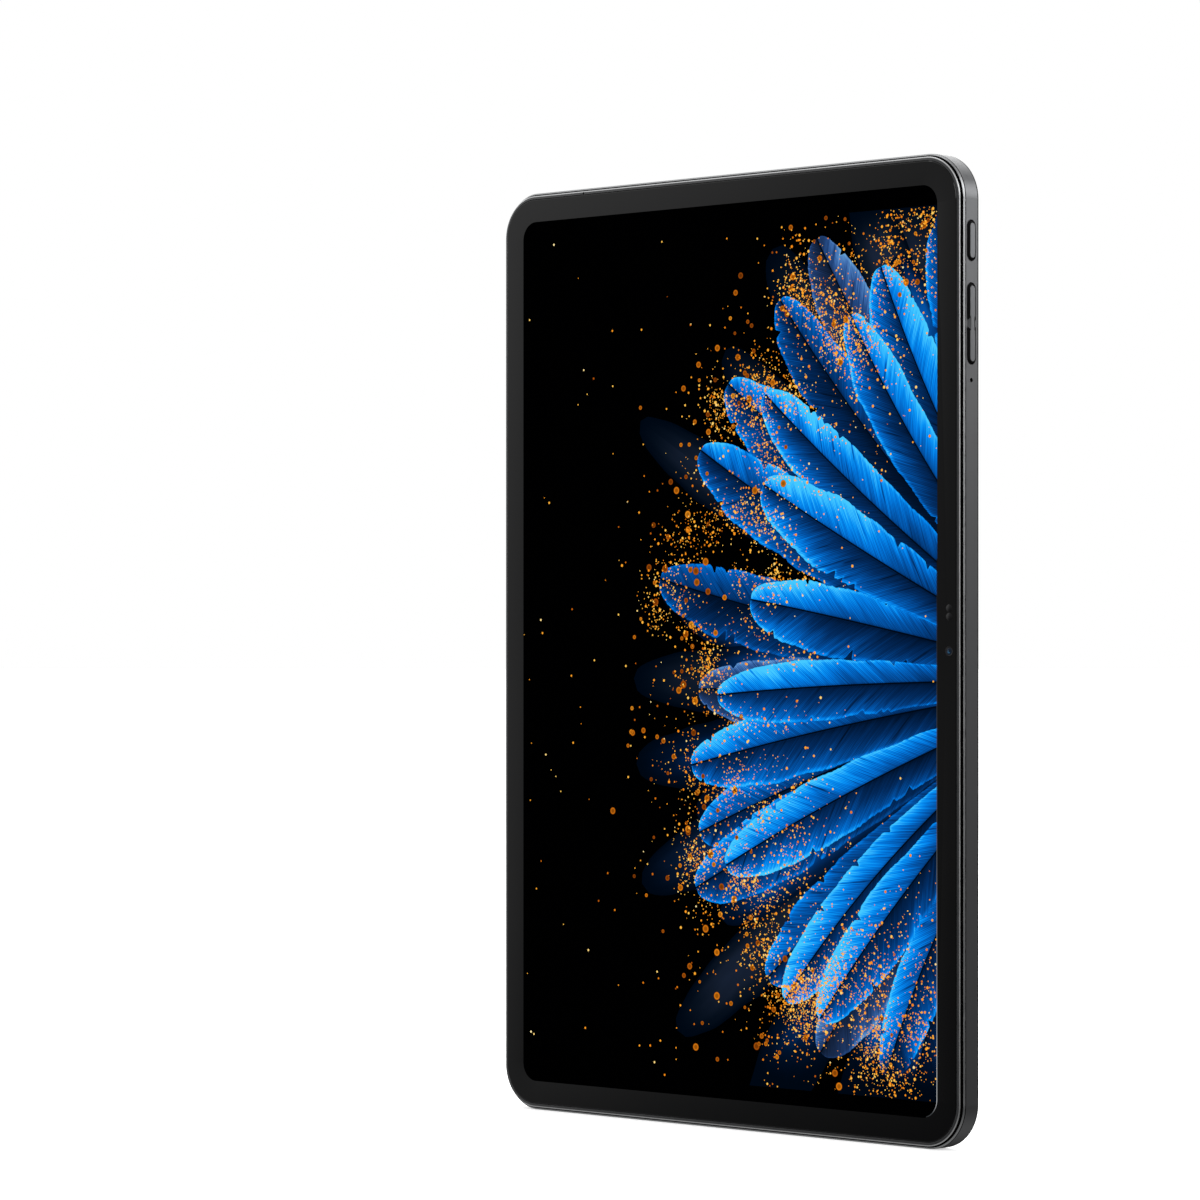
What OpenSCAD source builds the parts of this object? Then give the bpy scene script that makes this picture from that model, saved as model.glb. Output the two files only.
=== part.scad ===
// Eleven-inch tablet computer: a machined metal tub closed by a bonded display, with sprung side keys,
// a raised camera island on the back, and the boards, battery, speakers and antennas inside the tub.
// Every piece is drawn lying on its back: x to the right and y up the display, z from the back plane (0)
// to the cover glass. stand_up() then stands it on its bottom edge, display towards -Y, keys towards +X.

/* [Body] */
// Width across the short side
body_w = 164; // [156:1:172]
// Height along the long side
body_h = 253; // [245:1:261]
// Thickness without the camera island
body_t = 7.2; // [7.0:0.1:8.0]
// Radius of the four outer corners
corner_r = 12; // [9:0.5:15]
// Thickness of the tub's side walls
wall_t = 1.4; // [1.2:0.1:1.6]
// Thickness of the tub's back
floor_t = 0.8; // [0.7:0.1:0.9]
// Width of the polished chamfer around the back
back_chamfer = 0.55; // [0.3:0.05:0.6]

/* [Display] */
// Width of the sloped rim outside the cover glass
rim_w = 1.75; // [1.4:0.05:2]
// Thickness of the cover glass
glass_t = 0.7; // [0.5:0.05:0.8]
// Black border from the outer edge to the lit picture
bezel_w = 8; // [7:0.5:9]
// Corner radius of the lit picture
picture_r = 4.9; // [3:0.1:6]

/* [Side keys] */
// Height of the power key's centre
power_key_y = 230.4; // [226:0.2:236]
// Length of the power key
power_key_l = 10.1; // [8:0.1:12]
// Height of the volume rocker's centre
volume_key_y = 209.4; // [205:0.2:213]
// Length of the volume rocker
volume_key_l = 20.4; // [16:0.1:22]
// Width of both keys across the side
key_w = 3.2; // [2.6:0.1:3.4]
// How far the keys stand out of the side
key_proud = 0.4; // [0.2:0.05:0.6]

/* [Camera island] */
// Distance of the island's centre line from the body's centre line
island_x = 65; // [60:0.5:67]
// Height of the island's centre
island_y = 223.3; // [220:0.1:226]
// Width of the island
island_w = 25; // [23:0.5:26]
// Length of the island
island_l = 51.8; // [49:0.2:54]
// How far the island stands out of the back
island_h = 1.8; // [1.2:0.1:2.2]
// Diameter of the ring around the main lens
ring_d = 19.4; // [18:0.1:20]
// How far that ring stands out of the island
ring_proud = 0.5; // [0.3:0.1:0.7]

/* [Inside] */
// Width of one battery cell
cell_w = 64; // [58:1:65]
// Length of one battery cell
cell_l = 150; // [130:1:152]
// Thickness of one battery cell
cell_t = 3.2; // [2.8:0.1:3.4]
// Distance of each speaker's centre from the body's centre line
speaker_x = 36; // [33:1:38]
// Number of round holes in each speaker grille
grille_holes = 7; // [4:1:8]

/* [Hidden] */
$fn = 96;
eps = 0.01;

// Back plane of the body in the standing frame, which puts the whole thickness evenly about y = 0
back_y = (body_t - island_h - ring_proud) / 2;
mid_y = body_h / 2;
side_x = body_w / 2;

// Levels, from the back plane towards the display
glass_z = body_t - glass_t;
gasket_t = 0.1;
ledge_z = glass_z - gasket_t;
ledge_t = 0.8;
wall_top = 6.2;
front_chamfer_w = 0.41;
front_chamfer_t = 0.32;
panel_t = 0.6;
backlight_t = 1.0;
back_plate_t = 0.2;
display_z = glass_z - panel_t - backlight_t - back_plate_t;
board_z = 1.8;
board_t = 0.8;
board_top = board_z + board_t;
shield_h = 1.4;

// Outer lip of the display surround, over the shadow groove that runs round the body
rim_edge = 0.6;
lip_z = 6.65;
neck_inset = 1.0;

// Cover glass, picture and display stack
glass_gap = 0.1;
glass_inset = rim_w + glass_gap;
ledge_w = 2.7;
panel_margin = 1.25;
panel_w = body_w - 2 * (bezel_w - panel_margin);
panel_h = body_h - 2 * (bezel_w - panel_margin);

// Front camera and light sensors, in the border halfway up the key side
front_camera_x = side_x - 4.15;
front_camera_d = 4.4;
sensor_ys = [mid_y + 8.8, mid_y + 10.9];
sensor_d = 1.4;

// Side keys
key_z = 3.4;
key_gap = 0.15;
key_flange = 0.6;
key_lip = 0.35;
flange_x = side_x - wall_t - 0.35;
flange_t = 0.55;
nub_t = 0.3;
key_top = side_x + key_proud;
dome_x = flange_x - flange_t - nub_t - 0.4;
dome_t = 0.3;
flex_t = 0.2;
rocker_waist = 1.8;
nub_offset = 6;
side_mic_y = 195.1;
pinhole_x = -51;
pinhole_d = 0.6;
pinhole_inset = 1.3;

// Camera island, measured from its own centre
island_r = island_w / 2;
island_wall = 1.3;
island_chamfer = 0.6;
seat_z = -island_h + 0.7;
seat_t = 0.5;
insert_inset = 0.8;
insert_wall = 1.0;
insert_top = 1.0;
seat_depth = 0.2;
island_gap = 0.25;
main_lens_y = 13.3;
ring_r = ring_d / 2;
ring_lip = 0.5;
window_r = 7.1;
plate_w = 18.7;
plate_l = 24.9;
plate_y = -10.55;
second_lens_y = -4.1;
flash_y = -16.8;
round_window_d = 9.1;
flash_d = 4;

// Ports and grilles in the short sides
port_z = 2.95;
port_w = 8.94;
port_h = 3.26;
port_gap = 0.15;
port_l = 6.9;
port_post_x = 5;
port_post_w = 3;
port_post_l = 6;
port_post_top = 4.5;
grille_pitch = 2.5;
grille_d = 1.5;
speaker_w = 28;
speaker_l = 13.5;
speaker_t = 3.6;
speaker_edge = wall_t + 0.35;

// Stylus window in the back, along the key side
window_in_x = side_x - 6.1;
window_out_x = side_x - back_chamfer;
window_half_in = 68.4;
window_half_out = 73.1;
window_depth = 0.35;

// Battery
cell_gap = 8;
cell_y = 34;
cell_z = floor_t + 0.15;
cell_mid_x = (cell_gap + cell_w) / 2;

// Screws: heads rest on the boards and brackets, shanks run into bosses on the tub's back
screw_r = 0.7;
screw_head_r = 1.3;
screw_head_t = 0.5;
screw_bottom = 0.5;
boss_r = 1.7;
board_screws = [[-43, 200], [43, 200], [-43, 229], [43, 229], [6, 214.5], [-17, 20.5], [17, 20.5]];
bracket_screws = [[55.5, 194.6], [74.5, 194.6]];
bracket_t = 0.4;

// ---- Shared shapes ----

// Stands the flat-drawn piece on its bottom edge
module stand_up() {
    translate([0, back_y, 0]) rotate([90, 0, 0]) children();
}

// Rounded rectangle outline about the origin
module round_rect(w, h, r) {
    square([w, h - 2 * r], center = true);
    if (w > 2 * r) square([w - 2 * r, h], center = true);
    for (sx = [-1, 1], sy = [-1, 1])
        translate([sx * (w / 2 - r), sy * (h / 2 - r)]) circle(r);
}

// Flat plate with rounded corners, centred on the body
module plate(w, h, r, z, t) {
    translate([0, mid_y, z]) linear_extrude(t) round_rect(w, h, r);
}

// Plate whose edge follows a profile of [inset, z] points, from its back to its front
module profiled_plate(w, h, r, profile) {
    last = len(profile) - 1;
    function half(reach) = [for (p = profile) [reach - p[0], p[1]]];
    function whole(reach) = concat(half(reach), [for (i = [last : -1 : 0]) [profile[i][0] - reach, profile[i][1]]]);
    translate([0, h / 2 - r, 0]) rotate([90, 0, 0]) linear_extrude(h - 2 * r) polygon(whole(w / 2));
    if (w > 2 * r)
        translate([r - w / 2, 0, 0]) rotate([90, 0, 90]) linear_extrude(w - 2 * r) polygon(whole(h / 2));
    for (turn = [0 : 3]) {
        sx = turn == 0 || turn == 3 ? 1 : -1;
        sy = turn < 2 ? 1 : -1;
        translate([sx * (w / 2 - r), sy * (h / 2 - r), 0]) rotate([0, 0, 90 * turn]) rotate_extrude(angle = 90)
            polygon(concat([[0, profile[0][1]]], half(r), [[0, profile[last][1]]]));
    }
}

// Upright pill outline
module pill(w, l) {
    round_rect(w, l, w / 2);
}

// Places a piece on the camera island, where z = 0 is the back plane and outwards is -z
module on_island(y = 0) {
    translate([island_x, island_y + y, 0]) children();
}

// Disc or post along z
module post(r, z0, z1) {
    translate([0, 0, z0]) cylinder(r = r, h = z1 - z0);
}

// Box from its low corner and its size
module block(x, y, z, w, l, t) {
    translate([x, y, z]) cube([w, l, t]);
}

// Rounded box, centred in x and y
module soft_block(x, y, z, w, l, t, r = 1) {
    translate([x, y, z]) linear_extrude(t) round_rect(w, l, r);
}

// Slot with round ends through a side wall, run along x
module side_slot(y, z, l, w, x0, x1) {
    translate([x0, y, z]) rotate([90, 0, 90]) linear_extrude(x1 - x0) round_rect(l, w, w / 2 - eps);
}

// Slot with round ends through a short side, run along y
module end_slot(x, z, l, w, y0, y1) {
    translate([x, y1, z]) rotate([90, 0, 0]) linear_extrude(y1 - y0) round_rect(l, w, w / 2 - eps);
}

module at_screws(places) {
    for (p = places) translate([p[0], p[1], 0]) children();
}

// Centres of one grille's holes
function grille_xs(side) = [for (i = [0 : grille_holes - 1])
    side * speaker_x + (i - (grille_holes - 1) / 2) * grille_pitch];

// ---- Shell ----

module stylus_outline(gap) {
    shift = gap * 0.6;
    polygon([[window_in_x + gap, mid_y - window_half_in + shift], [window_out_x - gap, mid_y - window_half_out + 2 * gap],
        [window_out_x - gap, mid_y + window_half_out - 2 * gap], [window_in_x + gap, mid_y + window_half_in - shift]]);
}

module tub() {
    profile = [[back_chamfer, 0], [0, back_chamfer], [0, wall_top - front_chamfer_t], [front_chamfer_w, wall_top]];
    difference() {
        translate([0, mid_y, 0]) profiled_plate(body_w, body_h, corner_r, profile);
        plate(body_w - 2 * wall_t, body_h - 2 * wall_t, corner_r - wall_t, floor_t, body_t);
    }
}

module tub_cuts() {
    on_island() {
        translate([0, 0, -1]) linear_extrude(1 + seat_depth) pill(island_w + 0.1, island_l + 0.1);
        translate([0, 0, -1]) linear_extrude(3)
            pill(island_w - 2 * insert_inset + 0.1, island_l - 2 * insert_inset + 0.1);
    }
    translate([0, 0, -eps]) linear_extrude(window_depth + eps) stylus_outline(0);
    side_slot(power_key_y, key_z, power_key_l + 2 * key_gap, key_w + 2 * key_gap, side_x - 3, side_x + 1);
    side_slot(volume_key_y, key_z, volume_key_l + 2 * key_gap, key_w + 2 * key_gap, side_x - 3, side_x + 1);
    translate([side_x - 3, side_mic_y, key_z]) rotate([0, 90, 0]) cylinder(d = 0.9, h = 4);
    end_slot(0, port_z, port_w + 2 * port_gap, port_h + 2 * port_gap, -1, 3);
    for (side = [-1, 1], x = grille_xs(side)) {
        translate([x, 3, port_z]) rotate([90, 0, 0]) cylinder(d = grille_d, h = 4);
        translate([x, body_h + 1, port_z]) rotate([90, 0, 0]) cylinder(d = grille_d, h = 4);
    }
    translate([pinhole_x, body_h - pinhole_inset, 4]) cylinder(d = pinhole_d, h = 4);
}

// A post on each side of the port, standing on the floor and joined to the bottom wall
module port_posts() {
    wall_joint = 0.4;
    for (x = [-port_post_x - port_post_w, port_post_x])
        block(x, wall_t - wall_joint, floor_t - 0.1, port_post_w, port_post_l, port_post_top - floor_t + 0.1);
}

module back_housing() {
    color("#2f3134") stand_up() difference() {
        union() {
            tub();
            port_posts();
            at_screws(board_screws) post(boss_r, floor_t - 0.1, board_z);
            at_screws(bracket_screws) post(boss_r, floor_t - 0.1, insert_top);
        }
        tub_cuts();
        at_screws(concat(board_screws, bracket_screws)) post(screw_r + 0.02, screw_bottom - 0.05, board_z + 1);
    }
}

module stylus_window() {
    color("#2b2c2f") stand_up() linear_extrude(window_depth) stylus_outline(0.06);
}

module front_bracket() {
    rim = [[rim_edge, lip_z - 0.1], [rim_edge, lip_z], [rim_edge + 0.4, lip_z + 0.3], [rim_w, body_t - 0.05]];
    inner_w = body_w - 2 * (wall_t + ledge_w);
    inner_h = body_h - 2 * (wall_t + ledge_w);
    color("#3a3b3d") stand_up() difference() {
        union() {
            translate([0, mid_y, 0]) profiled_plate(body_w, body_h, corner_r, rim);
            plate(body_w - 2 * neck_inset, body_h - 2 * neck_inset, corner_r - neck_inset, wall_top, lip_z - wall_top);
            plate(body_w - 2 * wall_t - 0.1, body_h - 2 * wall_t - 0.1, corner_r - wall_t - 0.05,
                ledge_z - ledge_t, ledge_t);
        }
        plate(body_w - 2 * rim_w, body_h - 2 * rim_w, corner_r - rim_w, ledge_z, body_t);
        plate(inner_w, inner_h, corner_r - wall_t - ledge_w, ledge_z - 2 * ledge_t, body_t);
        translate([front_camera_x, mid_y, 0]) post(front_camera_d / 2 + 0.15, 4, body_t);
        for (y = sensor_ys) translate([front_camera_x, y, 0]) post(sensor_d / 2 + 0.2, 4, body_t);
        translate([pinhole_x, body_h - pinhole_inset, 4]) cylinder(d = pinhole_d, h = 4);
    }
}

// ---- Display ----

module glass_gasket() {
    w = body_w - 2 * glass_inset - 0.6;
    h = body_h - 2 * glass_inset - 0.6;
    color("#101010") stand_up() difference() {
        plate(w, h, corner_r - glass_inset - 0.3, ledge_z, gasket_t);
        plate(w - 3.4, h - 3.4, corner_r - glass_inset - 2, ledge_z - 1, 2);
        translate([front_camera_x, mid_y, 0]) post(front_camera_d / 2 + 0.2, 4, body_t);
        for (y = sensor_ys) translate([front_camera_x, y, 0]) post(sensor_d / 2 + 0.25, 4, body_t);
    }
}

module cover_glass() {
    edge = [[0, glass_z], [0, body_t - 0.2], [0.2, body_t]];
    color("#0b0b0d") stand_up() translate([0, mid_y, 0])
        profiled_plate(body_w - 2 * glass_inset, body_h - 2 * glass_inset, corner_r - glass_inset, edge);
}

module display_panel() {
    color("#16181c") stand_up() plate(panel_w, panel_h, picture_r + panel_margin, glass_z - panel_t, panel_t);
}

module backlight_unit() {
    color("#e8eaec") stand_up() plate(panel_w - 0.6, panel_h - 0.6, 4, display_z + back_plate_t, backlight_t);
}

module display_back_plate() {
    color("#a6a8aa") stand_up() plate(panel_w, panel_h, 4, display_z, back_plate_t);
}

// ---- Side keys ----

// Key cap outline along the side, seen from outside
module key_outline(l, waist) {
    if (waist > 0) {
        half_l = (l - waist) / 2;
        for (s = [-1, 1]) translate([s * (l - half_l) / 2, 0]) round_rect(half_l, key_w, key_w / 2 - eps);
        square([waist + key_w, key_w - 1.1], center = true);
    } else {
        round_rect(l, key_w, key_w / 2 - eps);
    }
}

module key(y, l, waist, nubs) {
    translate([0, y, key_z]) rotate([90, 0, 90]) {
        translate([0, 0, flange_x - eps]) linear_extrude(key_top - flange_x) key_outline(l, waist);
        translate([0, 0, flange_x - flange_t]) linear_extrude(flange_t)
            round_rect(l + 2 * key_flange, key_w + 2 * key_lip, 1);
        for (n = nubs) translate([n, 0, flange_x - flange_t - nub_t]) cylinder(d = 1.4, h = nub_t + eps);
    }
}

module power_key() {
    color("#2c2d30") stand_up() key(power_key_y, power_key_l, 0, [0]);
}

module volume_key() {
    color("#2c2d30") stand_up() key(volume_key_y, volume_key_l, rocker_waist, [-nub_offset, nub_offset]);
}

// Flexible strip with a dome switch behind each press point
module key_switch_flex() {
    low = volume_key_y - volume_key_l / 2;
    high = power_key_y + power_key_l / 2;
    domes = [volume_key_y - nub_offset, volume_key_y + nub_offset, power_key_y];
    color("#b8772c") stand_up() {
        block(dome_x - dome_t - flex_t, low, key_z - 1.6, flex_t, high - low, 3.2);
        for (y = domes) translate([dome_x - dome_t - eps, y, key_z]) rotate([0, 90, 0])
            cylinder(r1 = 1.5, r2 = 0.9, h = dome_t);
    }
}

module key_bracket() {
    x = dome_x - dome_t - flex_t - 0.4;
    low = volume_key_y - volume_key_l / 2 - 1;
    high = power_key_y + power_key_l / 2 + 1;
    color("#9a9da0") stand_up() {
        block(x, low, floor_t, 0.4, high - low, 4.2);
        for (y = [low, (low + high) / 2 - 1.5, high - 3]) block(x - 0.4, y, floor_t, 0.41, 3, 2);
    }
}

// ---- Camera island ----

module island_frame() {
    top = -island_h;
    wall = [[island_chamfer, top], [0, top + island_chamfer], [0, seat_depth]];
    color("#3b3c3f") stand_up() on_island() difference() {
        union() {
            profiled_plate(island_w, island_l, island_r, wall);
            linear_extrude(insert_top)
                pill(island_w - 2 * insert_inset, island_l - 2 * insert_inset);
        }
        translate([0, 0, top - 1]) linear_extrude(seat_z - top + 1)
            pill(island_w - 2 * island_wall, island_l - 2 * island_wall);
        translate([0, 0, seat_z + seat_t]) linear_extrude(4)
            pill(island_w - 2 * (insert_inset + insert_wall), island_l - 2 * (insert_inset + insert_wall));
        translate([0, main_lens_y, 0]) post(5.2, -3, 3);
        translate([0, second_lens_y, 0]) post(3, -3, 3);
        translate([0, flash_y, 0]) post(2.8, -3, 3);
    }
}

module island_glass() {
    reach = island_wall + island_gap;
    edge = [[0.3, 0.05 - island_h], [0, 0.35 - island_h], [0, seat_z]];
    color("#17181a") stand_up() on_island() difference() {
        profiled_plate(island_w - 2 * reach, island_l - 2 * reach, island_r - reach, edge);
        translate([0, main_lens_y, 0]) post(ring_r + 0.1, -3, 3);
        translate([0, plate_y, -3]) linear_extrude(6) pill(plate_w + 0.1, plate_l + 0.1);
    }
}

// Polished ring with a sloped inner face that leads down to the lens window
module main_lens_ring() {
    top = -island_h - ring_proud;
    color("#c9cbcd") stand_up() on_island(main_lens_y) rotate_extrude() polygon([
        [window_r + 0.1, seat_z], [ring_r, seat_z], [ring_r, top + 0.15], [ring_r - 0.15, top],
        [ring_r - ring_lip, top], [window_r + 0.5, top + 0.45], [window_r + 0.1, top + 0.45]]);
}

module main_lens_window() {
    color("#202124") stand_up() on_island(main_lens_y) post(window_r, seat_z - 0.6, seat_z);
}

module main_lens_barrel() {
    color("#2a2b2e") stand_up() on_island(main_lens_y) difference() {
        post(4.4, seat_z + 0.05, 0.2);
        post(3.2, -3, seat_z + 0.35);
        post(2.2, -3, seat_z + 0.7);
    }
}

module island_plate() {
    color("#4a4b4d") stand_up() on_island() difference() {
        translate([0, plate_y, 0.05 - island_h]) linear_extrude(seat_z + island_h - 0.05) pill(plate_w, plate_l);
        for (y = [second_lens_y, flash_y]) translate([0, y, 0]) post(round_window_d / 2 + 0.05, -3, 3);
    }
}

module second_lens_window() {
    color("#08080a") stand_up() on_island(second_lens_y) post(round_window_d / 2, 0.05 - island_h, seat_z);
}

module flash_window() {
    color("#0a0a0b") stand_up() on_island(flash_y) difference() {
        post(round_window_d / 2, 0.05 - island_h, seat_z);
        post(flash_d / 2 + 0.05, -3, 3);
    }
}

module flash_lens() {
    color("#efe4bd") stand_up() on_island(flash_y) post(flash_d / 2, 0.15 - island_h, seat_z);
}

module flash_led() {
    color("#e8c93a") stand_up() on_island(flash_y) {
        soft_block(0, 0, seat_z + 0.1, 3, 3, 0.4, 0.3);
        soft_block(0, 0, seat_z + 0.5, 3.6, 3.6, 0.8, 0.3);
    }
}

module camera_module(y, body_l, barrel_r, barrel_z, body_z, body_top) {
    on_island(y) {
        post(barrel_r, barrel_z, body_z + eps);
        soft_block(0, 0, body_z, body_l, body_l, body_top - body_z, 0.6);
    }
}

module main_camera() {
    color("#1d1f22") stand_up() camera_module(main_lens_y, 11, 4.3, 0.2, 0.7, 4.3);
}

module second_camera() {
    color("#1d1f22") stand_up() camera_module(second_lens_y, 7.2, 2.6, seat_z + 0.05, 0.7, 4.1);
}

// Sheet frame over the camera modules, screwed down on the housing
module camera_bracket() {
    w = island_w - 2 * insert_inset + 1.2;
    color("#8f9194") stand_up() difference() {
        translate([island_x, 0, insert_top]) linear_extrude(bracket_t) {
            translate([0, island_y]) pill(w, island_l - 0.4);
            translate([0, bracket_screws[0][1] + 2]) round_rect(w, 12, 2);
        }
        on_island(main_lens_y) soft_block(0, 0, 0, 11.2, 11.2, 5, 0.6);
        on_island(second_lens_y) soft_block(0, 0, 0, 7.4, 7.4, 5, 0.6);
        at_screws(bracket_screws) post(screw_r + 0.1, -1, 3);
    }
}

// ---- Front camera, sensors, microphones ----

module front_camera() {
    color("#17191c") stand_up() translate([front_camera_x, mid_y, 0]) {
        post(front_camera_d / 2, 4.4, glass_z);
        soft_block(0, 0, 2.6, front_camera_d, 6, 1.8, 0.4);
    }
}

module light_sensors() {
    color("#35373a") stand_up() {
        for (y = sensor_ys) translate([front_camera_x, y, 0]) post(sensor_d / 2, 4.4, glass_z);
        soft_block(front_camera_x, (sensor_ys[0] + sensor_ys[1]) / 2, 3.4, 2.6, 4.6, 1, 0.3);
    }
}

module microphones() {
    color("#c3b27a") stand_up() {
        soft_block(side_x - wall_t - 0.65, side_mic_y - 0.3, key_z - 1.2, 1.2, 3, 2.4, 0.2);
        soft_block(pinhole_x - 0.8, body_h - wall_t - 0.65, 3, 3, 1.2, 2, 0.2);
        soft_block(12, wall_t + 0.65, port_z - 1, 3, 1.2, 2, 0.2);
    }
}

// ---- Port ----

module usb_shell() {
    color("#b9bbbd") stand_up() difference() {
        end_slot(0, port_z, port_w, port_h, 0.2, port_l);
        end_slot(0, port_z, port_w - 0.6, port_h - 0.6, -1, port_l - 0.6);
    }
}

module usb_tongue() {
    color("#151515") stand_up() block(-3.35, 0.9, port_z - 0.35, 6.7, port_l - 1.5, 0.7);
}

// ---- Boards ----

module board_outline() {
    difference() {
        polygon([[-47, 196.5], [47, 196.5], [47, 203], [50.5, 206], [50.5, 226], [47, 229], [47, 232.5],
            [-47, 232.5]]);
        translate([-47, 214.5]) circle(3);
    }
}

module main_board() {
    color("#1f4a3a") stand_up() difference() {
        translate([0, 0, board_z]) linear_extrude(board_t) board_outline();
        at_screws(board_screws) post(screw_r + 0.1, 0, 4);
    }
}

module board_chips() {
    chips = [[-22, 214, 14, 14, 1.0], [-6, 220, 9, 11, 0.9], [-35, 221, 8, 8, 0.8], [18, 220, 10, 8, 0.8],
        [33, 210, 9, 9, 0.9], [20, 208, 6, 6, 0.7], [-36, 208, 6, 5, 0.7]];
    color("#26282b") stand_up() for (c = chips) soft_block(c[0], c[1], board_top, c[2], c[3], c[4], 0.3);
}

// Pressed lid with a thin wall, open towards the board
module shield_can(x, y, w, l, h) {
    difference() {
        soft_block(x, y, board_top, w, l, h, 1.2);
        soft_block(x, y, board_top - 1, w - 0.4, l - 0.4, h + 0.8, 1);
    }
}

module shield_can_main() {
    color("#c4c6c8") stand_up() shield_can(-19, 216, 44, 26, shield_h);
}

module shield_can_radio() {
    color("#c4c6c8") stand_up() shield_can(24, 214.5, 30, 22, shield_h);
}

module thermal_sheet() {
    color("#3a3a3c") stand_up() soft_block(-1, 215, board_top + shield_h, 78, 22, 0.1, 2);
}

module sub_board() {
    color("#1f4a3a") stand_up() difference() {
        soft_block(0, 13.2, board_z, 42, 20.4, board_t, 1);
        block(-port_post_x - port_post_w - 0.2, 0, 0, 2 * (port_post_x + port_post_w + 0.2), port_l + 0.2, 5);
        at_screws(board_screws) post(screw_r + 0.1, 0, 4);
    }
}

// ---- Battery ----

module battery_cell(side) {
    x = side * cell_mid_x;
    soft_block(x, cell_y + cell_l / 2, cell_z, cell_w, cell_l, cell_t, 1.6);
    soft_block(x, cell_y + cell_l + 1.4, cell_z + cell_t / 2 - 0.2, cell_w - 4, 3, 0.4, 0.5);
}

module battery_cell_left() {
    color("#3c4046") stand_up() battery_cell(-1);
}

module battery_cell_right() {
    color("#3c4046") stand_up() battery_cell(1);
}

module battery_board() {
    color("#23503f") stand_up() soft_block(0, cell_y + cell_l + 5.6, floor_t + 0.2, 96, 4.6, 0.8, 0.5);
}

module battery_adhesive() {
    color("#f1f1ee") stand_up() for (side = [-1, 1], offset = [-18, 18])
        soft_block(side * cell_mid_x + offset, cell_y + cell_l / 2, floor_t, 12, cell_l - 16, 0.15, 1);
}

// ---- Flexible circuits ----

module main_flex() {
    color("#a5641f") stand_up() {
        soft_block(0, 110.5, floor_t, 6, 177, 0.15, 0.5);
        block(-3, 22, floor_t, 6, 1.5, board_z - floor_t);
        block(-3, 197.5, floor_t, 6, 1.5, board_z - floor_t);
    }
}

// Ribbon from the display's back plate down to the main board
module display_flex() {
    color("#a5641f") stand_up() translate([-12, 0, 0]) rotate([90, 0, 90]) linear_extrude(14)
        polygon([[188, display_z], [188, display_z - 0.15], [200.4, board_top + 0.7], [201, board_top],
            [202, board_top], [201.2, board_top + 0.9], [189, display_z]]);
}

// ---- Speakers ----

module speaker(side, top) {
    y = top ? body_h - speaker_edge - speaker_l / 2 : speaker_edge + speaker_l / 2;
    toward_edge = top ? 1 : -1;
    difference() {
        soft_block(side * speaker_x, y, floor_t + 0.1, speaker_w, speaker_l, speaker_t, 1.5);
        soft_block(side * speaker_x, y - toward_edge * 1.5, floor_t + speaker_t - 0.3, 16, 7, 2, 2);
        end_slot(side * speaker_x, port_z, 18, 2, y + toward_edge * 4.7 - 2.1, y + toward_edge * 4.7 + 2.1);
    }
}

module speaker_top_left() {
    color("#242527") stand_up() speaker(-1, true);
}

module speaker_top_right() {
    color("#242527") stand_up() speaker(1, true);
}

module speaker_bottom_left() {
    color("#242527") stand_up() speaker(-1, false);
}

module speaker_bottom_right() {
    color("#242527") stand_up() speaker(1, false);
}

// Woven strips between each grille and its speaker
module speaker_meshes() {
    color("#1a1b1c") stand_up() for (side = [-1, 1], y = [wall_t + 0.17, body_h - wall_t - 0.17])
        translate([side * speaker_x, y, port_z]) cube([20, 0.3, 2.6], center = true);
}

// ---- Antennas and stylus parts, behind the stylus window ----

module antenna(y) {
    soft_block(side_x - 6, y, floor_t, 7, 32, 0.9, 0.5);
    soft_block(side_x - 3.4, y, floor_t, 1.6, 30, 3, 0.3);
}

module wifi_antenna_upper() {
    color("#c98b3a") stand_up() antenna(mid_y + 47);
}

module wifi_antenna_lower() {
    color("#c98b3a") stand_up() antenna(mid_y - 47);
}

module stylus_coil() {
    color("#b0622a") stand_up() difference() {
        soft_block(side_x - 5.2, mid_y - 4, floor_t, 6, 24, 0.9, 2.9);
        soft_block(side_x - 5.2, mid_y - 4, 0, 2.4, 20.4, 3, 1.1);
    }
}

module stylus_magnets() {
    color("#cfd1d3") stand_up() for (offset = [-28, -21, 13, 20])
        soft_block(side_x - 5.2, mid_y + offset, floor_t, 5, 5.6, 2, 0.3);
}

// ---- Fasteners ----

module screw(seat) {
    post(screw_r, screw_bottom, seat + eps);
    post(screw_head_r, seat, seat + screw_head_t);
}

module screws() {
    color("#8a8c8e") stand_up() {
        at_screws(board_screws) screw(board_top);
        at_screws(bracket_screws) screw(insert_top + bracket_t);
    }
}

back_housing();
stylus_window();
front_bracket();
glass_gasket();
cover_glass();
display_panel();
backlight_unit();
display_back_plate();
power_key();
volume_key();
key_switch_flex();
key_bracket();
island_frame();
island_glass();
main_lens_ring();
main_lens_window();
main_lens_barrel();
island_plate();
second_lens_window();
flash_window();
flash_lens();
flash_led();
main_camera();
second_camera();
camera_bracket();
front_camera();
light_sensors();
microphones();
usb_shell();
usb_tongue();
main_board();
board_chips();
shield_can_main();
shield_can_radio();
thermal_sheet();
battery_cell_left();
battery_cell_right();
battery_board();
battery_adhesive();
sub_board();
main_flex();
display_flex();
speaker_top_left();
speaker_top_right();
speaker_bottom_left();
speaker_bottom_right();
speaker_meshes();
wifi_antenna_upper();
wifi_antenna_lower();
stylus_coil();
stylus_magnets();
screws();
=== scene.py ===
import math
import random

import bmesh
import bpy
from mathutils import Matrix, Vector, noise


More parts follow.
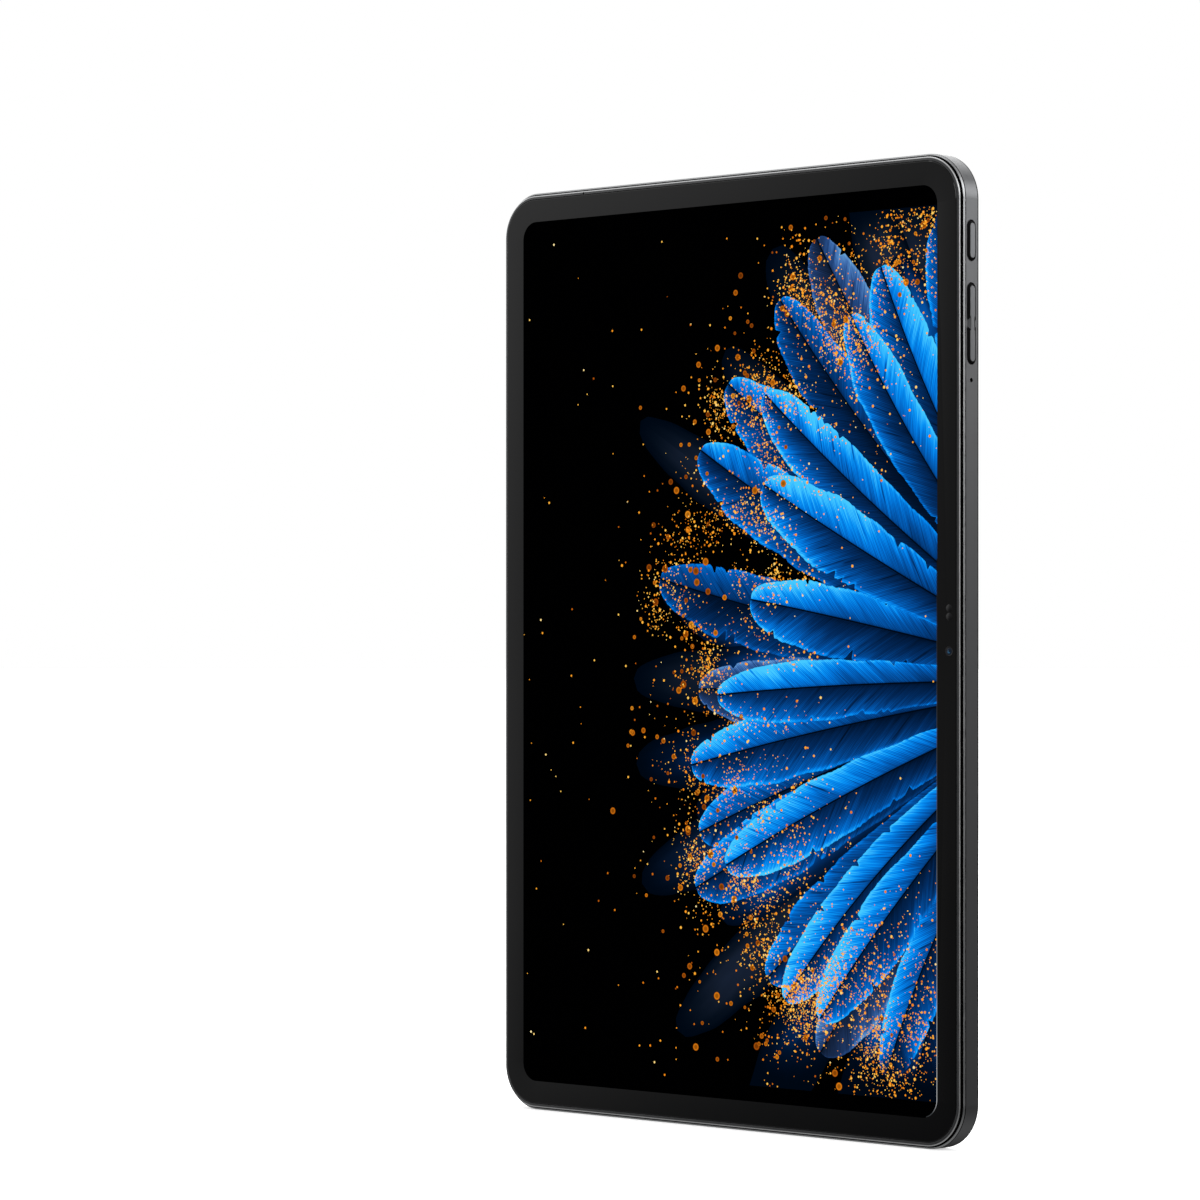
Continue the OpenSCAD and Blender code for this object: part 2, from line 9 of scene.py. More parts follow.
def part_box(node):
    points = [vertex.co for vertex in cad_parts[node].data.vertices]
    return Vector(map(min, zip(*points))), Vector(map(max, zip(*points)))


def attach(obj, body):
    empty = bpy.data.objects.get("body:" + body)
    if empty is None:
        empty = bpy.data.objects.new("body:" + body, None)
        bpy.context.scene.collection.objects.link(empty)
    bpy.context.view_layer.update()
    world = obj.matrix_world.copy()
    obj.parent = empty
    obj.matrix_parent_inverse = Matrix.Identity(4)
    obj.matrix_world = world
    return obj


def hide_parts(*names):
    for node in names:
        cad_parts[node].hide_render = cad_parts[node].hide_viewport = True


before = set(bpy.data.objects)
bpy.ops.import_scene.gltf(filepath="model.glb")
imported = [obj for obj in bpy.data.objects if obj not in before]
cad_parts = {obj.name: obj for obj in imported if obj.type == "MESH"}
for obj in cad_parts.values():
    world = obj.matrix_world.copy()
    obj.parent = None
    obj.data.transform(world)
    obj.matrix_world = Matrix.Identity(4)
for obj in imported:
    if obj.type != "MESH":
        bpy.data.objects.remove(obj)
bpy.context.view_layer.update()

MM = 0.001
BODY = "tablet_body"


def put_in_scene(name, data):
    obj = bpy.data.objects.new(name, data)
    bpy.context.scene.collection.objects.link(obj)
    return obj


# ---- Camera: the photograph's viewing angle ----

camera_data = bpy.data.cameras.new("camera")
camera = put_in_scene("camera", camera_data)
camera_data.sensor_width = 36
camera_data.lens = 131.85
camera_data.shift_y = 0.0429
camera_data.clip_start = 0.05
camera_data.clip_end = 50
camera.location = (0.7845, -0.86635, 0.1265)
camera.rotation_euler = Vector((-0.6934, 0.7206, 0)).to_track_quat("-Z", "Y").to_euler()
bpy.context.scene.camera = camera
bpy.context.scene.view_settings.view_transform = "Standard"

# ---- Frame of the flat drawing: x right, y up, z from the back plane towards the display, in mm ----

shell_lo, shell_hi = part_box("back_housing")
BACK = shell_hi[1]
W = (shell_hi[0] - shell_lo[0]) / MM
H = (shell_hi[2] - shell_lo[2]) / MM
MID = H / 2
SIDE = W / 2
FRONT = (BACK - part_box("cover_glass")[0][1]) / MM
WALL_TOP = (BACK - shell_lo[1]) / MM
CORNER = 12.0


def at(x, y, z):
    return Vector((x * MM, BACK - z * MM, y * MM))


def flat_box(node):
    """A CAD node's box in the flat drawing: (x0, x1, y0, y1, z0, z1) in mm."""
    lo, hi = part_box(node)
    return (lo[0] / MM, hi[0] / MM, lo[2] / MM, hi[2] / MM, (BACK - hi[1]) / MM, (BACK - lo[1]) / MM)


def spot(node):
    """A CAD node's middle and size in the flat drawing: (x, y, width, height)."""
    x0, x1, y0, y1, _, _ = flat_box(node)
    return (x0 + x1) / 2, (y0 + y1) / 2, x1 - x0, y1 - y0


# ---- Materials ----


M = {}  # every material by its name, as Look() makes it


class Graph:
    """A node tree, with short ways to add nodes to it."""

    def __init__(self, tree):
        self.nodes, self.links = tree.nodes, tree.links

    def node(self, kind, inputs=(), **values):
        """Adds a node; inputs gives a number, a colour or another node's output for each socket."""
        n = self.nodes.new(kind)
        for key, value in values.items():
            setattr(n, key, value)
        for key, value in dict(inputs).items():
            self.feed(n.inputs[key], value)
        return n

    def feed(self, socket, value):
        """Sets a number or a colour on the socket, or links an output to it."""
        if isinstance(value, (int, float)):
            socket.default_value = value
        elif isinstance(value, tuple):
            socket.default_value = (*value, 1)
        else:
            self.links.new(value, socket)

    def ramp(self, source, stops, smooth=False):
        r = self.node("ShaderNodeValToRGB", {"Fac": source})
        ramp = r.color_ramp
        if smooth:
            ramp.interpolation = "EASE"
        while len(ramp.elements) < len(stops):
            ramp.elements.new(0.5)
        for element, (place, value) in zip(ramp.elements, stops):
            element.position = place
            element.color = (*value, 1) if isinstance(value, tuple) else (value, value, value, 1)
        return r.outputs["Color"]

    def math(self, op, a, b=0.0, c=0.0, clamp=False):
        return self.node("ShaderNodeMath", enumerate((a, b, c)), operation=op, use_clamp=clamp).outputs["Value"]

    def times(self, value, *factors):
        for factor in factors:
            value = self.math("MULTIPLY", value, factor)
        return value

    def mix(self, fac, a, b, blend="MIX"):
        return self.node("ShaderNodeMix", {0: fac, 6: a, 7: b}, data_type="RGBA", blend_type=blend).outputs[2]


class Look(Graph):
    """A node material with a Principled shader, and short ways to add procedural detail to it."""

    def __init__(self, name, colour, metallic=0.0, rough=0.5, spec=0.5, coat=0.0):
        if isinstance(colour, float):
            colour = (colour, colour, colour)
        self.mat = bpy.data.materials.new(name)
        self.mat.use_nodes = True
        self.mat.diffuse_color = (*colour, 1)
        super().__init__(self.mat.node_tree)
        self.shader = self.nodes["Principled BSDF"]
        self.colour = colour
        for socket, value in (("Base Color", colour), ("Metallic", metallic), ("Roughness", rough), ("IOR", 1.5),
                              ("Specular IOR Level", spec), ("Coat Weight", coat), ("Coat Roughness", 0.03)):
            self.put(socket, value)
        self.place = self.node("ShaderNodeTexCoord").outputs["Object"]
        self.bumped = None
        M[name] = self.mat

    def put(self, socket, value):
        self.feed(self.shader.inputs[socket], value)

    def glow(self, colour, strength=1.0):
        """Lets the surface shine in this colour. It isn't sampled as a lamp."""
        self.put("Emission Color", colour)
        self.put("Emission Strength", strength)
        self.mat.cycles.emission_sampling = "NONE"

    def noise(self, scale, detail=3.0, rough=0.5, stretch=None):
        """Noise over the object's own place; scale is features per metre, stretch squeezes it along an axis."""
        source = self.place
        if stretch:
            mapping = self.node("ShaderNodeMapping", {"Vector": source})
            mapping.inputs["Scale"].default_value = stretch
            source = mapping.outputs["Vector"]
        return self.node("ShaderNodeTexNoise", {"Vector": source, "Scale": scale, "Detail": detail,
                                                "Roughness": rough}).outputs["Fac"]

    def cells(self, scale):
        return self.node("ShaderNodeTexVoronoi", {"Vector": self.place, "Scale": scale}).outputs["Distance"]

    def tint(self, source, amount):
        """Lets the colour drift by the given share either way, following the source."""
        low, high = (tuple(c * share for c in self.colour) for share in (1 - amount, 1 + amount))
        self.put("Base Color", self.ramp(source, [(0.3, low), (0.7, high)]))

    def roughen(self, source, low, high):
        self.put("Roughness", self.ramp(source, [(0.3, low), (0.7, high)]))

    def bump(self, source, strength, distance_mm):
        """Adds a bump on top of those the look already has."""
        inputs = {"Height": source, "Strength": strength, "Distance": distance_mm * MM}
        if self.bumped:
            inputs["Normal"] = self.bumped
        self.bumped = self.node("ShaderNodeBump", inputs).outputs["Normal"]
        self.put("Normal", self.bumped)


def anodised(name, colour, rough):
    """Bead-blasted, dyed aluminium: fine grain and faint cloudiness."""
    look = Look(name, colour, metallic=1.0, rough=rough)
    look.tint(look.noise(60, 2), 0.015)
    look.roughen(look.noise(9000, 2), rough - 0.04, rough + 0.05)
    look.bump(look.noise(11700, 2), 0.12, 0.01)


def polished(name, colour, rough):
    """Diamond-cut metal with hair-fine turning marks."""
    look = Look(name, colour, metallic=1.0, rough=rough)
    look.tint(look.noise(300, 2), 0.04)
    look.roughen(look.noise(6000, 2, stretch=(1, 1, 0.05)), rough - 0.04, rough + 0.06)


def moulded(name, colour, rough=0.5, grain=5000, spec=0.5):
    """Matt plastic or paint with a fine grain."""
    look = Look(name, colour, rough=rough, spec=spec)
    look.tint(look.noise(200, 3), 0.12)
    look.roughen(look.noise(grain, 2), rough - 0.06, rough + 0.08)
    look.bump(look.noise(grain, 3), 0.15, 0.01)


def sheet_metal(name, colour, rough=0.32):
    """Rolled sheet with marks along the rolling."""
    look = Look(name, colour, metallic=1.0, rough=rough)
    look.tint(look.noise(120, 2), 0.06)
    look.roughen(look.noise(3000, 3, stretch=(1, 1, 0.08)), rough - 0.08, rough + 0.1)
    look.bump(look.noise(3000, 2, stretch=(1, 1, 0.08)), 0.1, 0.01)


def gloss(name, colour, rough, spec=0.5, tint=0.1):
    """Glass or lacquer over a dark print, with faint smears."""
    look = Look(name, colour, rough=rough, spec=spec)
    look.tint(look.noise(25, 2), tint)
    look.roughen(look.noise(45, 3), rough * 0.8, rough * 1.5)


def lens_coating():
    """Blue and teal coating of a small camera lens."""
    look = Look("lens_coating", (0.004, 0.006, 0.012), rough=0.05, coat=0.2)
    look.roughen(look.noise(500, 2), 0.015, 0.03)
    weight = look.node("ShaderNodeLayerWeight", {"Blend": 0.25})
    tone = look.ramp(weight.outputs["Facing"], [(0.0, (0.003, 0.012, 0.022)), (0.35, (0.005, 0.018, 0.060)),
                                                (0.7, (0.012, 0.010, 0.040))])
    look.put("Base Color", tone)


def glint(name, colour):
    """Small mark that a lens shows where it mirrors a lamp."""
    look = Look(name, colour, rough=0.08, spec=0.8)
    look.tint(look.noise(4000, 2), 0.2)
    look.glow(colour, 0.8)


def flash_cream():
    """Moulded flash lens: cream, with a fine cell pattern bumped into its surface."""
    look = Look("flash_cream", (0.62, 0.56, 0.40), rough=0.16, spec=0.7, coat=0.6)
    look.tint(look.noise(1500, 3), 0.14)
    look.bump(look.cells(2600), 0.5, 0.08)


def circuit(name):
    """Green board with paler tracks."""
    look = Look(name, (0.01, 0.075, 0.045), rough=0.35)
    tracks = look.node("ShaderNodeTexBrick", {
        "Vector": look.place, "Scale": 900, "Color1": (0.008, 0.060, 0.036), "Color2": (0.012, 0.085, 0.052),
        "Mortar": (0.03, 0.14, 0.07)})
    look.put("Base Color", tracks.outputs["Color"])
    look.bump(tracks.outputs["Fac"], 0.3, 0.03)


def foil(name, colour, rough=0.35):
    """Crinkled film or foil."""
    look = Look(name, colour, metallic=0.85, rough=rough)
    look.tint(look.noise(90, 4), 0.08)
    look.bump(look.noise(700, 4), 0.35, 0.05)


def woven(name, colour):
    """Wire mesh with dark gaps."""
    look = Look(name, colour, metallic=0.6, rough=0.45)
    wires = look.cells(6000)
    look.put("Base Color", look.ramp(wires, [(0.2, colour), (0.6, 0.001)]))
    look.bump(wires, 0.6, 0.05)


anodised("shell", (0.098, 0.099, 0.102), 0.40)
polished("shell_chamfer", (0.20, 0.203, 0.21), 0.28)
polished("front_chamfer", (0.34, 0.345, 0.35), 0.28)
anodised("inlay", (0.092, 0.093, 0.096), 0.44)
# Near-black and unreflective: painted shade for the gaps between parts, the fine lines along the shell's edges, and the
# walls of slots, holes, wells and the picture's recess
moulded("groove", 0.0012, 0.8, spec=0.02)
moulded("rim", (0.045, 0.046, 0.048), 0.34, grain=8000)
polished("rim_edge", (0.54, 0.545, 0.55), 0.30)
gloss("glass", (0.0025, 0.0026, 0.003), 0.03)
gloss("picture", (0.0002, 0.0002, 0.0003), 0.02, spec=0.0)
anodised("key", (0.112, 0.114, 0.118), 0.36)
# Near-black and almost unreflective: the painted shadow on the keys' long flanks, where they stand in their slots
moulded("key_flank_shadow", 0.0025, 0.7, spec=0.04)
anodised("island_wall", (0.030, 0.030, 0.032), 0.30)
polished("island_chamfer", (0.14, 0.142, 0.147), 0.20)
gloss("island_glass", (0.005, 0.005, 0.0055), 0.012)
polished("ring", (0.30, 0.303, 0.31), 0.18)
polished("ring_wall", (0.22, 0.223, 0.23), 0.24)
moulded("ring_slope", (0.016, 0.016, 0.017), 0.30, grain=9000)
gloss("window", (0.018, 0.018, 0.020), 0.03)
gloss("plate", (0.038, 0.038, 0.039), 0.014)
gloss("black_gloss", (0.0008, 0.0008, 0.0009), 0.03, spec=0.2)
polished("silver", (0.50, 0.505, 0.51), 0.30)
polished("target", 0.20, 0.34)
moulded("barrel", (0.012, 0.012, 0.013), 0.34, grain=12000)
moulded("barrel_light", (0.035, 0.035, 0.037), 0.3, grain=12000)
lens_coating()
glint("glint_blue", (0.03, 0.12, 0.62))
glint("glint_teal", (0.02, 0.42, 0.50))
glint("glint_white", (0.30, 0.36, 0.42))
flash_cream()
gloss("flash_rim", (0.66, 0.50, 0.10), 0.2, tint=0.15)
gloss("flash_core", (0.42, 0.37, 0.30), 0.2, tint=0.25)
gloss("sensor", (0.012, 0.012, 0.013), 0.10)
gloss("eye_ring", (0.014, 0.014, 0.016), 0.12)
glint("eye_blue", (0.012, 0.060, 0.12))

INNER = {
    "glass_gasket": (moulded, "gasket", 0.008, 0.8),
    "display_panel": (gloss, "display_cell", (0.008, 0.009, 0.011), 0.08),
    "backlight_unit": (moulded, "light_guide", (0.80, 0.81, 0.82), 0.35),
    "display_back_plate": (sheet_metal, "stamped_steel", 0.42),
    "key_switch_flex": (foil, "key_flex", (0.50, 0.24, 0.06)),
    "key_bracket": (sheet_metal, "bracket_steel", 0.38),
    "main_camera": (moulded, "camera_module", (0.012, 0.012, 0.013)),
    "second_camera": (moulded, "second_module", (0.012, 0.012, 0.013)),
    "camera_bracket": (sheet_metal, "camera_steel", (0.34, 0.34, 0.35)),
    "microphones": (sheet_metal, "microphone_cans", (0.50, 0.50, 0.48)),
    "usb_shell": (polished, "port_steel", (0.46, 0.46, 0.47), 0.24),
    "usb_tongue": (moulded, "port_tongue", 0.012, 0.5),
    "main_board": (circuit, "circuit"),
    "board_chips": (moulded, "chip_black", (0.015, 0.015, 0.016), 0.42),
    **{f"shield_can_{part}": (sheet_metal, f"shield_{part}", (0.55, 0.55, 0.54)) for part in ("main", "radio")},
    "thermal_sheet": (foil, "graphite", (0.025, 0.025, 0.027), 0.5),
    **{f"battery_cell_{side}": (foil, f"cell_{side}", (0.30, 0.30, 0.31)) for side in ("left", "right")},
    "battery_board": (circuit, "circuit"),
    "battery_adhesive": (moulded, "white_tape", (0.75, 0.75, 0.73), 0.6),
    "sub_board": (circuit, "circuit"),
    **{f"{part}_flex": (foil, f"{part}_flex_film", (0.42, 0.20, 0.05)) for part in ("main", "display")},
    **{f"speaker_{place}": (moulded, f"speaker_box_{letter}", (0.014, 0.014, 0.015))
       for place, letter in zip(("top_left", "top_right", "bottom_left", "bottom_right"), "abcd")},
    "speaker_meshes": (woven, "speaker_mesh", (0.05, 0.05, 0.052)),
    **{f"wifi_antenna_{end}": (foil, f"antenna_{end}", (0.55, 0.33, 0.12)) for end in ("upper", "lower")},
    "stylus_coil": (foil, "coil_copper", (0.55, 0.25, 0.08)),
    "stylus_magnets": (sheet_metal, "magnet_plate", (0.52, 0.52, 0.50)),
    "screws": (sheet_metal, "screw_steel", (0.45, 0.45, 0.46)),
}
for node, (finish, name, *values) in INNER.items():
    finish(name, *values)
    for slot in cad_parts[node].material_slots:
        slot.material = M[name]

# ---- Shapes ----


def drift(x, y, direction, along, across=0):
    """The point that far along a direction, and across it."""
    c, s = math.cos(direction), math.sin(direction)
    return x + along * c - across * s, y + along * s + across * c


def outline(w, h, r, cx=0.0, cy=None, n=24):
    """Points round a rounded rectangle, anticlockwise; a pill when r is half the width."""
    cy = MID if cy is None else cy
    points = []
    for k, (sx, sy) in enumerate(((1, 1), (-1, 1), (-1, -1), (1, -1))):
        for i in range(n + 1):
            a = math.radians(90) * (k + i / n)
            points.append((cx + sx * (w / 2 - r) + r * math.cos(a), cy + sy * (h / 2 - r) + r * math.sin(a)))
    return points


def ring_loops(profile, w, h, r, cx=0.0, cy=None, n=24):
    """One closed loop per [inset, z] of the profile."""
    return [[at(x, y, z) for x, y in outline(w - 2 * i, h - 2 * i, max(r - i, 0.01), cx, cy, n)] for i, z in profile]


def disc_loops(profile, cx, cy, n=96):
    """One circle per [radius, z]."""
    return [[at(*drift(cx, cy, 2 * math.pi * k / n, r), z) for k in range(n)] for r, z in profile]


def finish_mesh(obj, sharp=24):
    mesh = obj.data
    mesh.shade_smooth()
    mesh.set_sharp_from_angle(angle=math.radians(sharp))
    mesh.update()


def weigh(obj):
    w = obj.modifiers.new("weighted", "WEIGHTED_NORMAL")
    w.keep_sharp = True
    w.weight = 80


def add(name, mesh, materials, body=BODY, replaces=(), slot=None):
    obj = put_in_scene(name, mesh)
    for m in materials:
        mesh.materials.append(M[m])
    if body:
        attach(obj, body)
    if replaces:
        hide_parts(*replaces)
    return obj


def solid(loops, bands, cap_mats=(0, 0), closed=False):
    """Joins the loops with bands of quads. bands and cap_mats give the material slot of each band and each end,
    or one slot for all bands; closed joins the last loop to the first, with no ends."""
    bm = bmesh.new()
    rows = [[bm.verts.new(p) for p in loop] for loop in loops]
    pairs = list(zip(rows, rows[1:]))
    if closed:
        pairs.append((rows[-1], rows[0]))
    for (a, b), m in zip(pairs, [bands] * len(pairs) if isinstance(bands, int) else bands):
        for i in range(len(a)):
            j = (i + 1) % len(a)
            bm.faces.new((a[i], a[j], b[j], b[i])).material_index = m
    if not closed:
        for row, m in zip((rows[0], rows[-1]), cap_mats):
            bm.faces.new(row).material_index = m
    return bm


def to_mesh(bm, name, outward=True):
    if outward:
        bmesh.ops.recalc_face_normals(bm, faces=bm.faces)
    mesh = bpy.data.meshes.new(name)
    bm.to_mesh(mesh)
    bm.free()
    return mesh


def skin(name, loops, bands, materials, cap_mats=(0, 0), closed=False, sharp=24, **where):
    """A visible piece made of loops, as solid() joins them."""
    bm = solid(loops, bands, cap_mats, closed)
    bmesh.ops.remove_doubles(bm, verts=bm.verts, dist=1e-7)
    bmesh.ops.dissolve_degenerate(bm, edges=bm.edges, dist=1e-8)
    obj = add(name, to_mesh(bm, name), materials, **where)
    finish_mesh(obj, sharp)
    return obj


def cutter(name, loops, m=0):
    """A closed solid used only to cut; the cut faces take material slot m."""
    return put_in_scene(name, to_mesh(solid(loops, m, (m, m)), name))


def carve(obj, tools):
    """Cuts the tools out of obj for good, removes them, and evens out the shading."""
    for t in tools:
        for m in obj.data.materials:
            t.data.materials.append(m)
        cut = obj.modifiers.new("cut", "BOOLEAN")
        cut.operation = "DIFFERENCE"
        cut.solver = "EXACT"
        cut.object = t
    depsgraph = bpy.context.evaluated_depsgraph_get()
    mesh = bpy.data.meshes.new_from_object(obj.evaluated_get(depsgraph))
    obj.modifiers.clear()
    old = obj.data
    obj.data = mesh
    bpy.data.meshes.remove(old)
    for t in tools:
        bpy.data.objects.remove(t, do_unlink=True)
    finish_mesh(obj)
    weigh(obj)


def across_end(y, x, z):
    return at(x, y, z)


def slot_loops(put, middle, z, length, width, steps, n=16):
    """Loops of a round-ended slot in the key side (put is at) or in a short side (put is across_end).
    steps are [x or y, outset]."""
    loops = []
    for depth, out in steps:
        r = width / 2 + out
        half = length / 2 - width / 2
        loop = []
        for k in range(2 * n + 2):
            far = k <= n
            a = math.pi * (k if far else k - 1) / n
            loop.append(put(depth, middle + (half if far else -half) + r * math.sin(a), z + r * math.cos(a)))
        loops.append(loop)
    return loops


KEY_LEAN = 0.2
WAIST_DIP, WAIST_FLAT, WAIST_RAMP = 0.3, 0.9, 1.3


def key_loops(y, middle, length, width, steps, waist, n=32):
    """Loops of a key's outline in the key side: [x, outset] from inside to outside, narrower at a rocker's middle."""
    loops = []
    for x, out in steps:
        r = width / 2 + out
        half = length / 2 + out
        z = middle + KEY_LEAN * min(out, 0)
        flat, ramp = WAIST_FLAT - out, WAIST_RAMP - out
        loop = [at(x, y + half - r + r * math.sin(math.pi * k / n), z + r * math.cos(math.pi * k / n))
                for k in range(n + 1)]
        if waist:
            loop += [at(x, y + s, z - r + (WAIST_DIP if abs(s) < ramp else 0)) for s in (ramp, flat, -flat, -ramp)]
        loop += [at(x, y - half + r - r * math.sin(math.pi * k / n), z - r * math.cos(math.pi * k / n))
                 for k in range(n + 1)]
        if waist:
            loop += [at(x, y + s, z + r - (WAIST_DIP if abs(s) < ramp else 0)) for s in (-ramp, -flat, flat, ramp)]
        loops.append(loop)
    return loops


# ---- Shell ----

CHAMFER = 0.55
FRONT_W, FRONT_T = 0.41, 0.32
EDGE_TOP = WALL_TOP - 0.1
LINE, LINE_DEEP = 0.3, 0.05
# Slot 2 is the painted shade: the top face under the rim's lip, the fine lines along both edges, and the walls cut for
# the keys, microphone, port, grille and inlay
shell = skin(
    "shell",
    ring_loops([(1.4, 0.8), (1.4, EDGE_TOP), (FRONT_W, EDGE_TOP), (0.02, EDGE_TOP - FRONT_T + 0.02),
                (LINE_DEEP, EDGE_TOP - FRONT_T - 0.02), (LINE_DEEP, EDGE_TOP - FRONT_T - LINE + 0.02),
                (0.0, EDGE_TOP - FRONT_T - LINE), (0.0, CHAMFER + LINE + 0.05), (LINE_DEEP, CHAMFER + LINE + 0.03),
                (LINE_DEEP, CHAMFER + 0.02), (0.02, CHAMFER - 0.02), (0.24, CHAMFER - 0.24), (0.50, 0.05),
                (CHAMFER, 0.0)], W, H, CORNER, n=32),
    [0, 2, 3, 2, 2, 2, 0, 2, 2, 2, 0, 1, 0], ["shell", "shell_chamfer", "groove", "front_chamfer"],
    replaces=("back_housing",), slot="anodised_shell")

power = flat_box("power_key")
KEY_Z = (power[4] + power[5]) / 2
KEY_W = 3.2
KEY_GAP = 0.15
FLANGE = 0.6  # each CAD key reaches this far past its slot, inside the wall
(_, POWER_Y, _, POWER_L), (_, VOLUME_Y, _, VOLUME_L) = spot("power_key"), spot("volume_key")
POWER_L -= 2 * FLANGE
VOLUME_L -= 2 * FLANGE
KEY_TOP = power[1]
PORT = flat_box("usb_shell")
PORT_Z = (PORT[4] + PORT[5]) / 2
meshes = flat_box("speaker_meshes")
MIC_Y, MIC_D = 195.1, 0.9
HOLE_D, HOLE_STEP, HOLES, GRILLE_X = 1.5, 2.5, 7, 36
ROUND = 0.0001  # keeps a round hole's two ends apart
tools = []
for name, y, length in (("power", POWER_Y, POWER_L), ("volume", VOLUME_Y, VOLUME_L)):
    steps = [(SIDE - 1.2, KEY_GAP), (SIDE - 0.06, KEY_GAP), (SIDE + 0.2, KEY_GAP + 0.26)]
    tools.append(cutter(f"cut_{name}", key_loops(y, KEY_Z, length, KEY_W, steps, name == "volume"), 2))
tools.append(cutter("cut_mic", slot_loops(at, MIC_Y, KEY_Z, MIC_D + ROUND, MIC_D,
                                          [(SIDE - 1.3, 0), (SIDE - 0.1, 0), (SIDE + 0.1, 0.2)]), 2))
tools.append(cutter("cut_port", slot_loops(across_end, 0, PORT_Z, PORT[1] - PORT[0] + 0.3, PORT[5] - PORT[4] + 0.3,
                                           [(2.0, 0), (0.15, 0), (-0.15, 0.3)]), 2))
for side in (-1, 1):
    for i in range(HOLES):
        x = side * GRILLE_X + (i - HOLES // 2) * HOLE_STEP
        for name, steps in (("cut_low", [(1.5, 0), (0.12, 0), (-0.1, 0.22)]),
                            ("cut_high", [(H - 1.5, 0), (H - 0.12, 0), (H + 0.1, 0.22)])):
            tools.append(cutter(name, slot_loops(across_end, x, PORT_Z, HOLE_D + ROUND, HOLE_D, steps, 12), 2))
carve(shell, tools)

# Stylus window: an inlay let into the back, with a hair-fine joint round it
def inlay_points(gap):
    shift = gap * 0.6
    x0, x1, half_out, half_in = 75.9, SIDE - CHAMFER, 73.1, 68.4
    return [(x0 + gap, MID - half_in + shift), (x1 - gap, MID - half_out + 2 * gap),
            (x1 - gap, MID + half_out - 2 * gap), (x0 + gap, MID + half_in - shift)]


carve(shell, [cutter("cut_inlay", [[at(x, y, z) for x, y in inlay_points(0)] for z in (0.3, -0.3)], 2)])
skin("inlay", [[at(x, y, z) for x, y in inlay_points(g)] for g, z in ((0.09, 0.28), (0.09, 0.03), (0.12, 0.0))],
     0, ["inlay"], replaces=("stylus_window",), slot="anodised_shell")

# ---- Rim and cover glass ----

RIM_IN = 1.75
LIP = 6.65
# The rim's slot 0 is the painted shade, which shows in the gap under its lip
rim = skin(
    "rim",
    ring_loops([(4.0, 5.7), (1.5, 5.7), (1.5, WALL_TOP + 0.02), (1.0, WALL_TOP + 0.02), (1.0, LIP - 0.04),
                (0.74, LIP - 0.04), (0.74, LIP + 0.10), (0.80, LIP + 0.155), (1.02, LIP + 0.31), (1.08, LIP + 0.34),
                (RIM_IN - 0.06, FRONT - 0.06), (RIM_IN, FRONT - 0.12), (RIM_IN, 6.4), (4.0, 6.4)], W, H, CORNER, n=32),
    [0, 0, 0, 0, 0, 0, 0, 1, 1, 2, 2, 0, 0, 0], ["groove", "rim_edge", "rim"], closed=True,
    replaces=("front_bracket",), slot="rim_metal", sharp=40)
pin = cutter("cut_pin", disc_loops([(0.3, 6.3), (0.3, FRONT - 0.14), (0.42, FRONT + 0.05)], -51, H - 1.3, 24), 0)
carve(rim, [pin])

GLASS_IN = 1.85
BEZEL = 8.0
PIC_R = 4.9
RECESS = 0.07
gw, gh, gr = W - 2 * GLASS_IN, H - 2 * GLASS_IN, CORNER - GLASS_IN
border = ring_loops([(0, FRONT - 0.7), (0, FRONT - 0.16), (0.03, FRONT - 0.08), (0.09, FRONT - 0.025), (0.2, FRONT)],
                    gw, gh, gr, n=32)
inner = ring_loops([(0, FRONT), (0, FRONT - RECESS)], W - 2 * BEZEL, H - 2 * BEZEL, PIC_R, n=32)
glass = skin("glass", border + inner, [0, 0, 0, 0, 0, 2], ["glass", "picture", "groove"], cap_mats=(0, 1),
             replaces=("cover_glass",), slot="cover_glass")
weigh(glass)

# ---- Keys ----

KEY_SLOPE = 0.62  # how far a flank leans in
KEY_FOOT = 0.72  # how far the cap reaches below the side, short of the slot's floor when pressed
LEVEL = 0.5
BRIDGE = 0.85  # half length of the rocker's bare middle


def key_piece(name, body, y, length, node, waist):
    """Key cap with round ends; its long flanks are near-black, a painted shadow of the slot they stand in, and its ends
    and a rocker's waist show bare metal.
    """
    steps = [(SIDE - KEY_FOOT, 0.0), (SIDE - 0.02, 0.0), (KEY_TOP - 0.06, -KEY_SLOPE), (KEY_TOP, -KEY_SLOPE - 0.08)]
    obj = skin(name, key_loops(y, KEY_Z, length, KEY_W, steps, waist), [1, 1, 0], ["key", "key_flank_shadow"],
               body=body, replaces=(node,), slot="key_metal")
    # Faces turned along the key, and a rocker's waist, go back to bare metal; the rest of the flanks keep the painted
    # shadow
    for face in obj.data.polygons:
        along = abs(face.center.z / MM - y)
        if face.material_index == 1 and (abs(face.normal.z) > LEVEL or (waist and along < BRIDGE)):
            face.material_index = 0
    weigh(obj)
    return obj


key_piece("power_key_cap", "power_key", POWER_Y, POWER_L, "power_key", False)
key_piece("volume_key_cap", "volume_key", VOLUME_Y, VOLUME_L, "volume_key", True)

# ---- Camera island ----

IX, IY, IW, IL = spot("island_frame")
IR = IW / 2
TOP = flat_box("island_frame")[4]
RING_Y, RING_D = spot("main_lens_ring")[1:3]
RING_R = RING_D / 2
RING_TOP = flat_box("main_lens_ring")[4]
SEAT = TOP + 0.7

